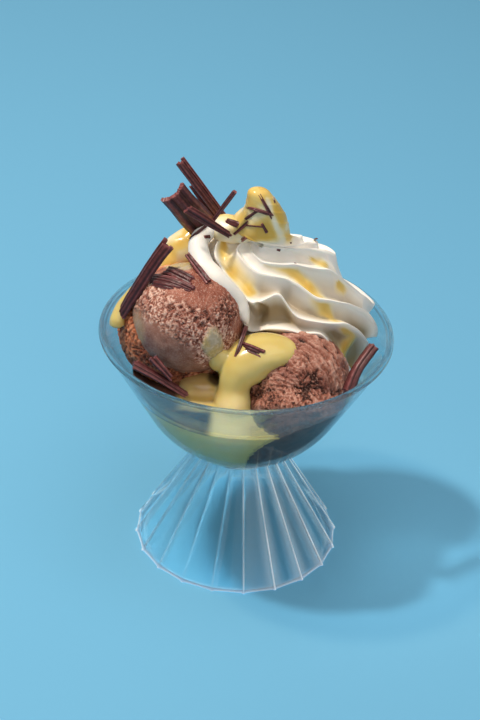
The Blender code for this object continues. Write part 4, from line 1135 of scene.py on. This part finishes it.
class SUNDAE_OT_custard(bpy.types.Operator):
    """Build the pool, the pour and the drip of custard"""

    bl_idname = "sundae.custard"
    bl_label = "Custard"

    def execute(self, context):
        finish = custard_finish()
        make_custard(finish)
        make_drip(finish)
        return {"FINISHED"}


class SUNDAE_OT_cream(bpy.types.Operator):
    """Build the piped swirl of cream and its shoulder"""

    bl_idname = "sundae.cream"
    bl_label = "Whipped Cream"

    def execute(self, context):
        finish = cream_finish()
        make_cream(finish, context.scene.sundae.ridge_depth)
        make_left_fold(finish)
        make_shoulder(finish)
        return {"FINISHED"}


class SUNDAE_OT_chocolate(bpy.types.Operator):
    """Build the chocolate curls, flakes and shards"""

    bl_idname = "sundae.chocolate"
    bl_label = "Chocolate"

    def execute(self, context):
        finish = chocolate_finish()
        others = []
        for name in ("cream", "cream_fold", "cream_shoulder", "custard", "ice_cream_left"):
            bm = bmesh.new()
            bm.from_mesh(bpy.data.objects[name].data)
            others.append(BVHTree.FromBMesh(bm))
            bm.free()
        for number, (name, sizes) in enumerate(CURLS.items()):
            if name in LAID:
                parts = [laid_curl(*sizes[:2], *sizes[3:6], sizes[8], number, others)]
            else:
                parts = [curl_mesh(*sizes, seed=number)]
            curl_object(name.replace("choc_", "shaved_"), finish, parts, name)
        parts = [
            laid_curl(start, end, width, width * 0.85, thickness, 2, 50 + number, others)
            for number, (start, end, width, thickness) in enumerate(SHARDS)
        ]
        curl_object("shards_on_peak", finish, parts)
        return {"FINISHED"}


class SUNDAE_OT_stage(bpy.types.Operator):
    """Build the floor, the lights and the camera"""

    bl_idname = "sundae.stage"
    bl_label = "Stage"

    def execute(self, context):
        scene = context.scene
        finish, tree, shader = new_finish("matte_paper", Roughness=0.9)
        shader.inputs["Base Color"].default_value = scene.sundae.floor_colour
        shader.inputs["Specular IOR Level"].default_value = 0.2
        corners = np.array(((-1, -1, 0), (1, -1, 0), (1, 1, 0), (-1, 1, 0))) * FLOOR_REACH / MM
        mesh = build_mesh("floor", corners, np.array([[0, 1, 2, 3]]))
        mesh.materials.append(finish)
        floor = bpy.data.objects.new("floor", mesh)
        scene.collection.objects.link(floor)
        for name, (place, size, watts, colour) in LIGHTS.items():
            light = bpy.data.lights.new(name, "AREA")
            light.size = size
            light.energy = watts
            light.color = linear(colour)[:3]
            lamp = bpy.data.objects.new(name, light)
            lamp.location = place
            aim = Vector(LIGHT_AIM) - lamp.location
            lamp.rotation_euler = aim.to_track_quat("-Z", "Y").to_euler()
            scene.collection.objects.link(lamp)
        world = bpy.data.worlds.new("studio")
        scene.world = world
        world.use_nodes = True
        room = world.node_tree.nodes["Background"]
        room.inputs["Color"].default_value = linear("#EDEAE6")
        room.inputs["Strength"].default_value = ROOM_LIGHT
        scene.view_settings.view_transform = "Standard"
        camera = bpy.data.objects.new("camera", bpy.data.cameras.new("camera"))
        camera.data.lens = CAMERA_LENS
        camera.data.sensor_width = 36.0
        camera.data.clip_start = 0.01
        rows = zip(CAMERA_RIGHT, CAMERA_UP, (-value for value in CAMERA_VIEW), (value * MM for value in CAMERA_PLACE))
        camera.matrix_world = Matrix([*rows, (0, 0, 0, 1)])
        scene.collection.objects.link(camera)
        scene.camera = camera
        return {"FINISHED"}


class SUNDAE_PT_panel(bpy.types.Panel):
    """Sundae pieces and their settings"""

    bl_idname = "SUNDAE_PT_panel"
    bl_label = "Sundae"
    bl_space_type = "VIEW_3D"
    bl_region_type = "UI"
    bl_category = "Sundae"

    def draw(self, context):
        for name in SundaeSettings.__annotations__:
            self.layout.prop(context.scene.sundae, name)
        for operator in OPERATORS:
            self.layout.operator(operator.bl_idname)


OPERATORS = (
    SUNDAE_OT_glass, SUNDAE_OT_scoops, SUNDAE_OT_custard, SUNDAE_OT_cream, SUNDAE_OT_chocolate, SUNDAE_OT_stage,
)


def register():
    for cls in (SundaeSettings, *OPERATORS, SUNDAE_PT_panel):
        bpy.utils.register_class(cls)
    bpy.types.Scene.sundae = bpy.props.PointerProperty(type=SundaeSettings)


def unregister():
    del bpy.types.Scene.sundae
    for cls in (SUNDAE_PT_panel, *reversed(OPERATORS), SundaeSettings):
        bpy.utils.unregister_class(cls)


def main():
    register()
    for operator in OPERATORS:
        group, name = operator.bl_idname.split(".")
        getattr(getattr(bpy.ops, group), name)()


if __name__ == "__main__":
    main()
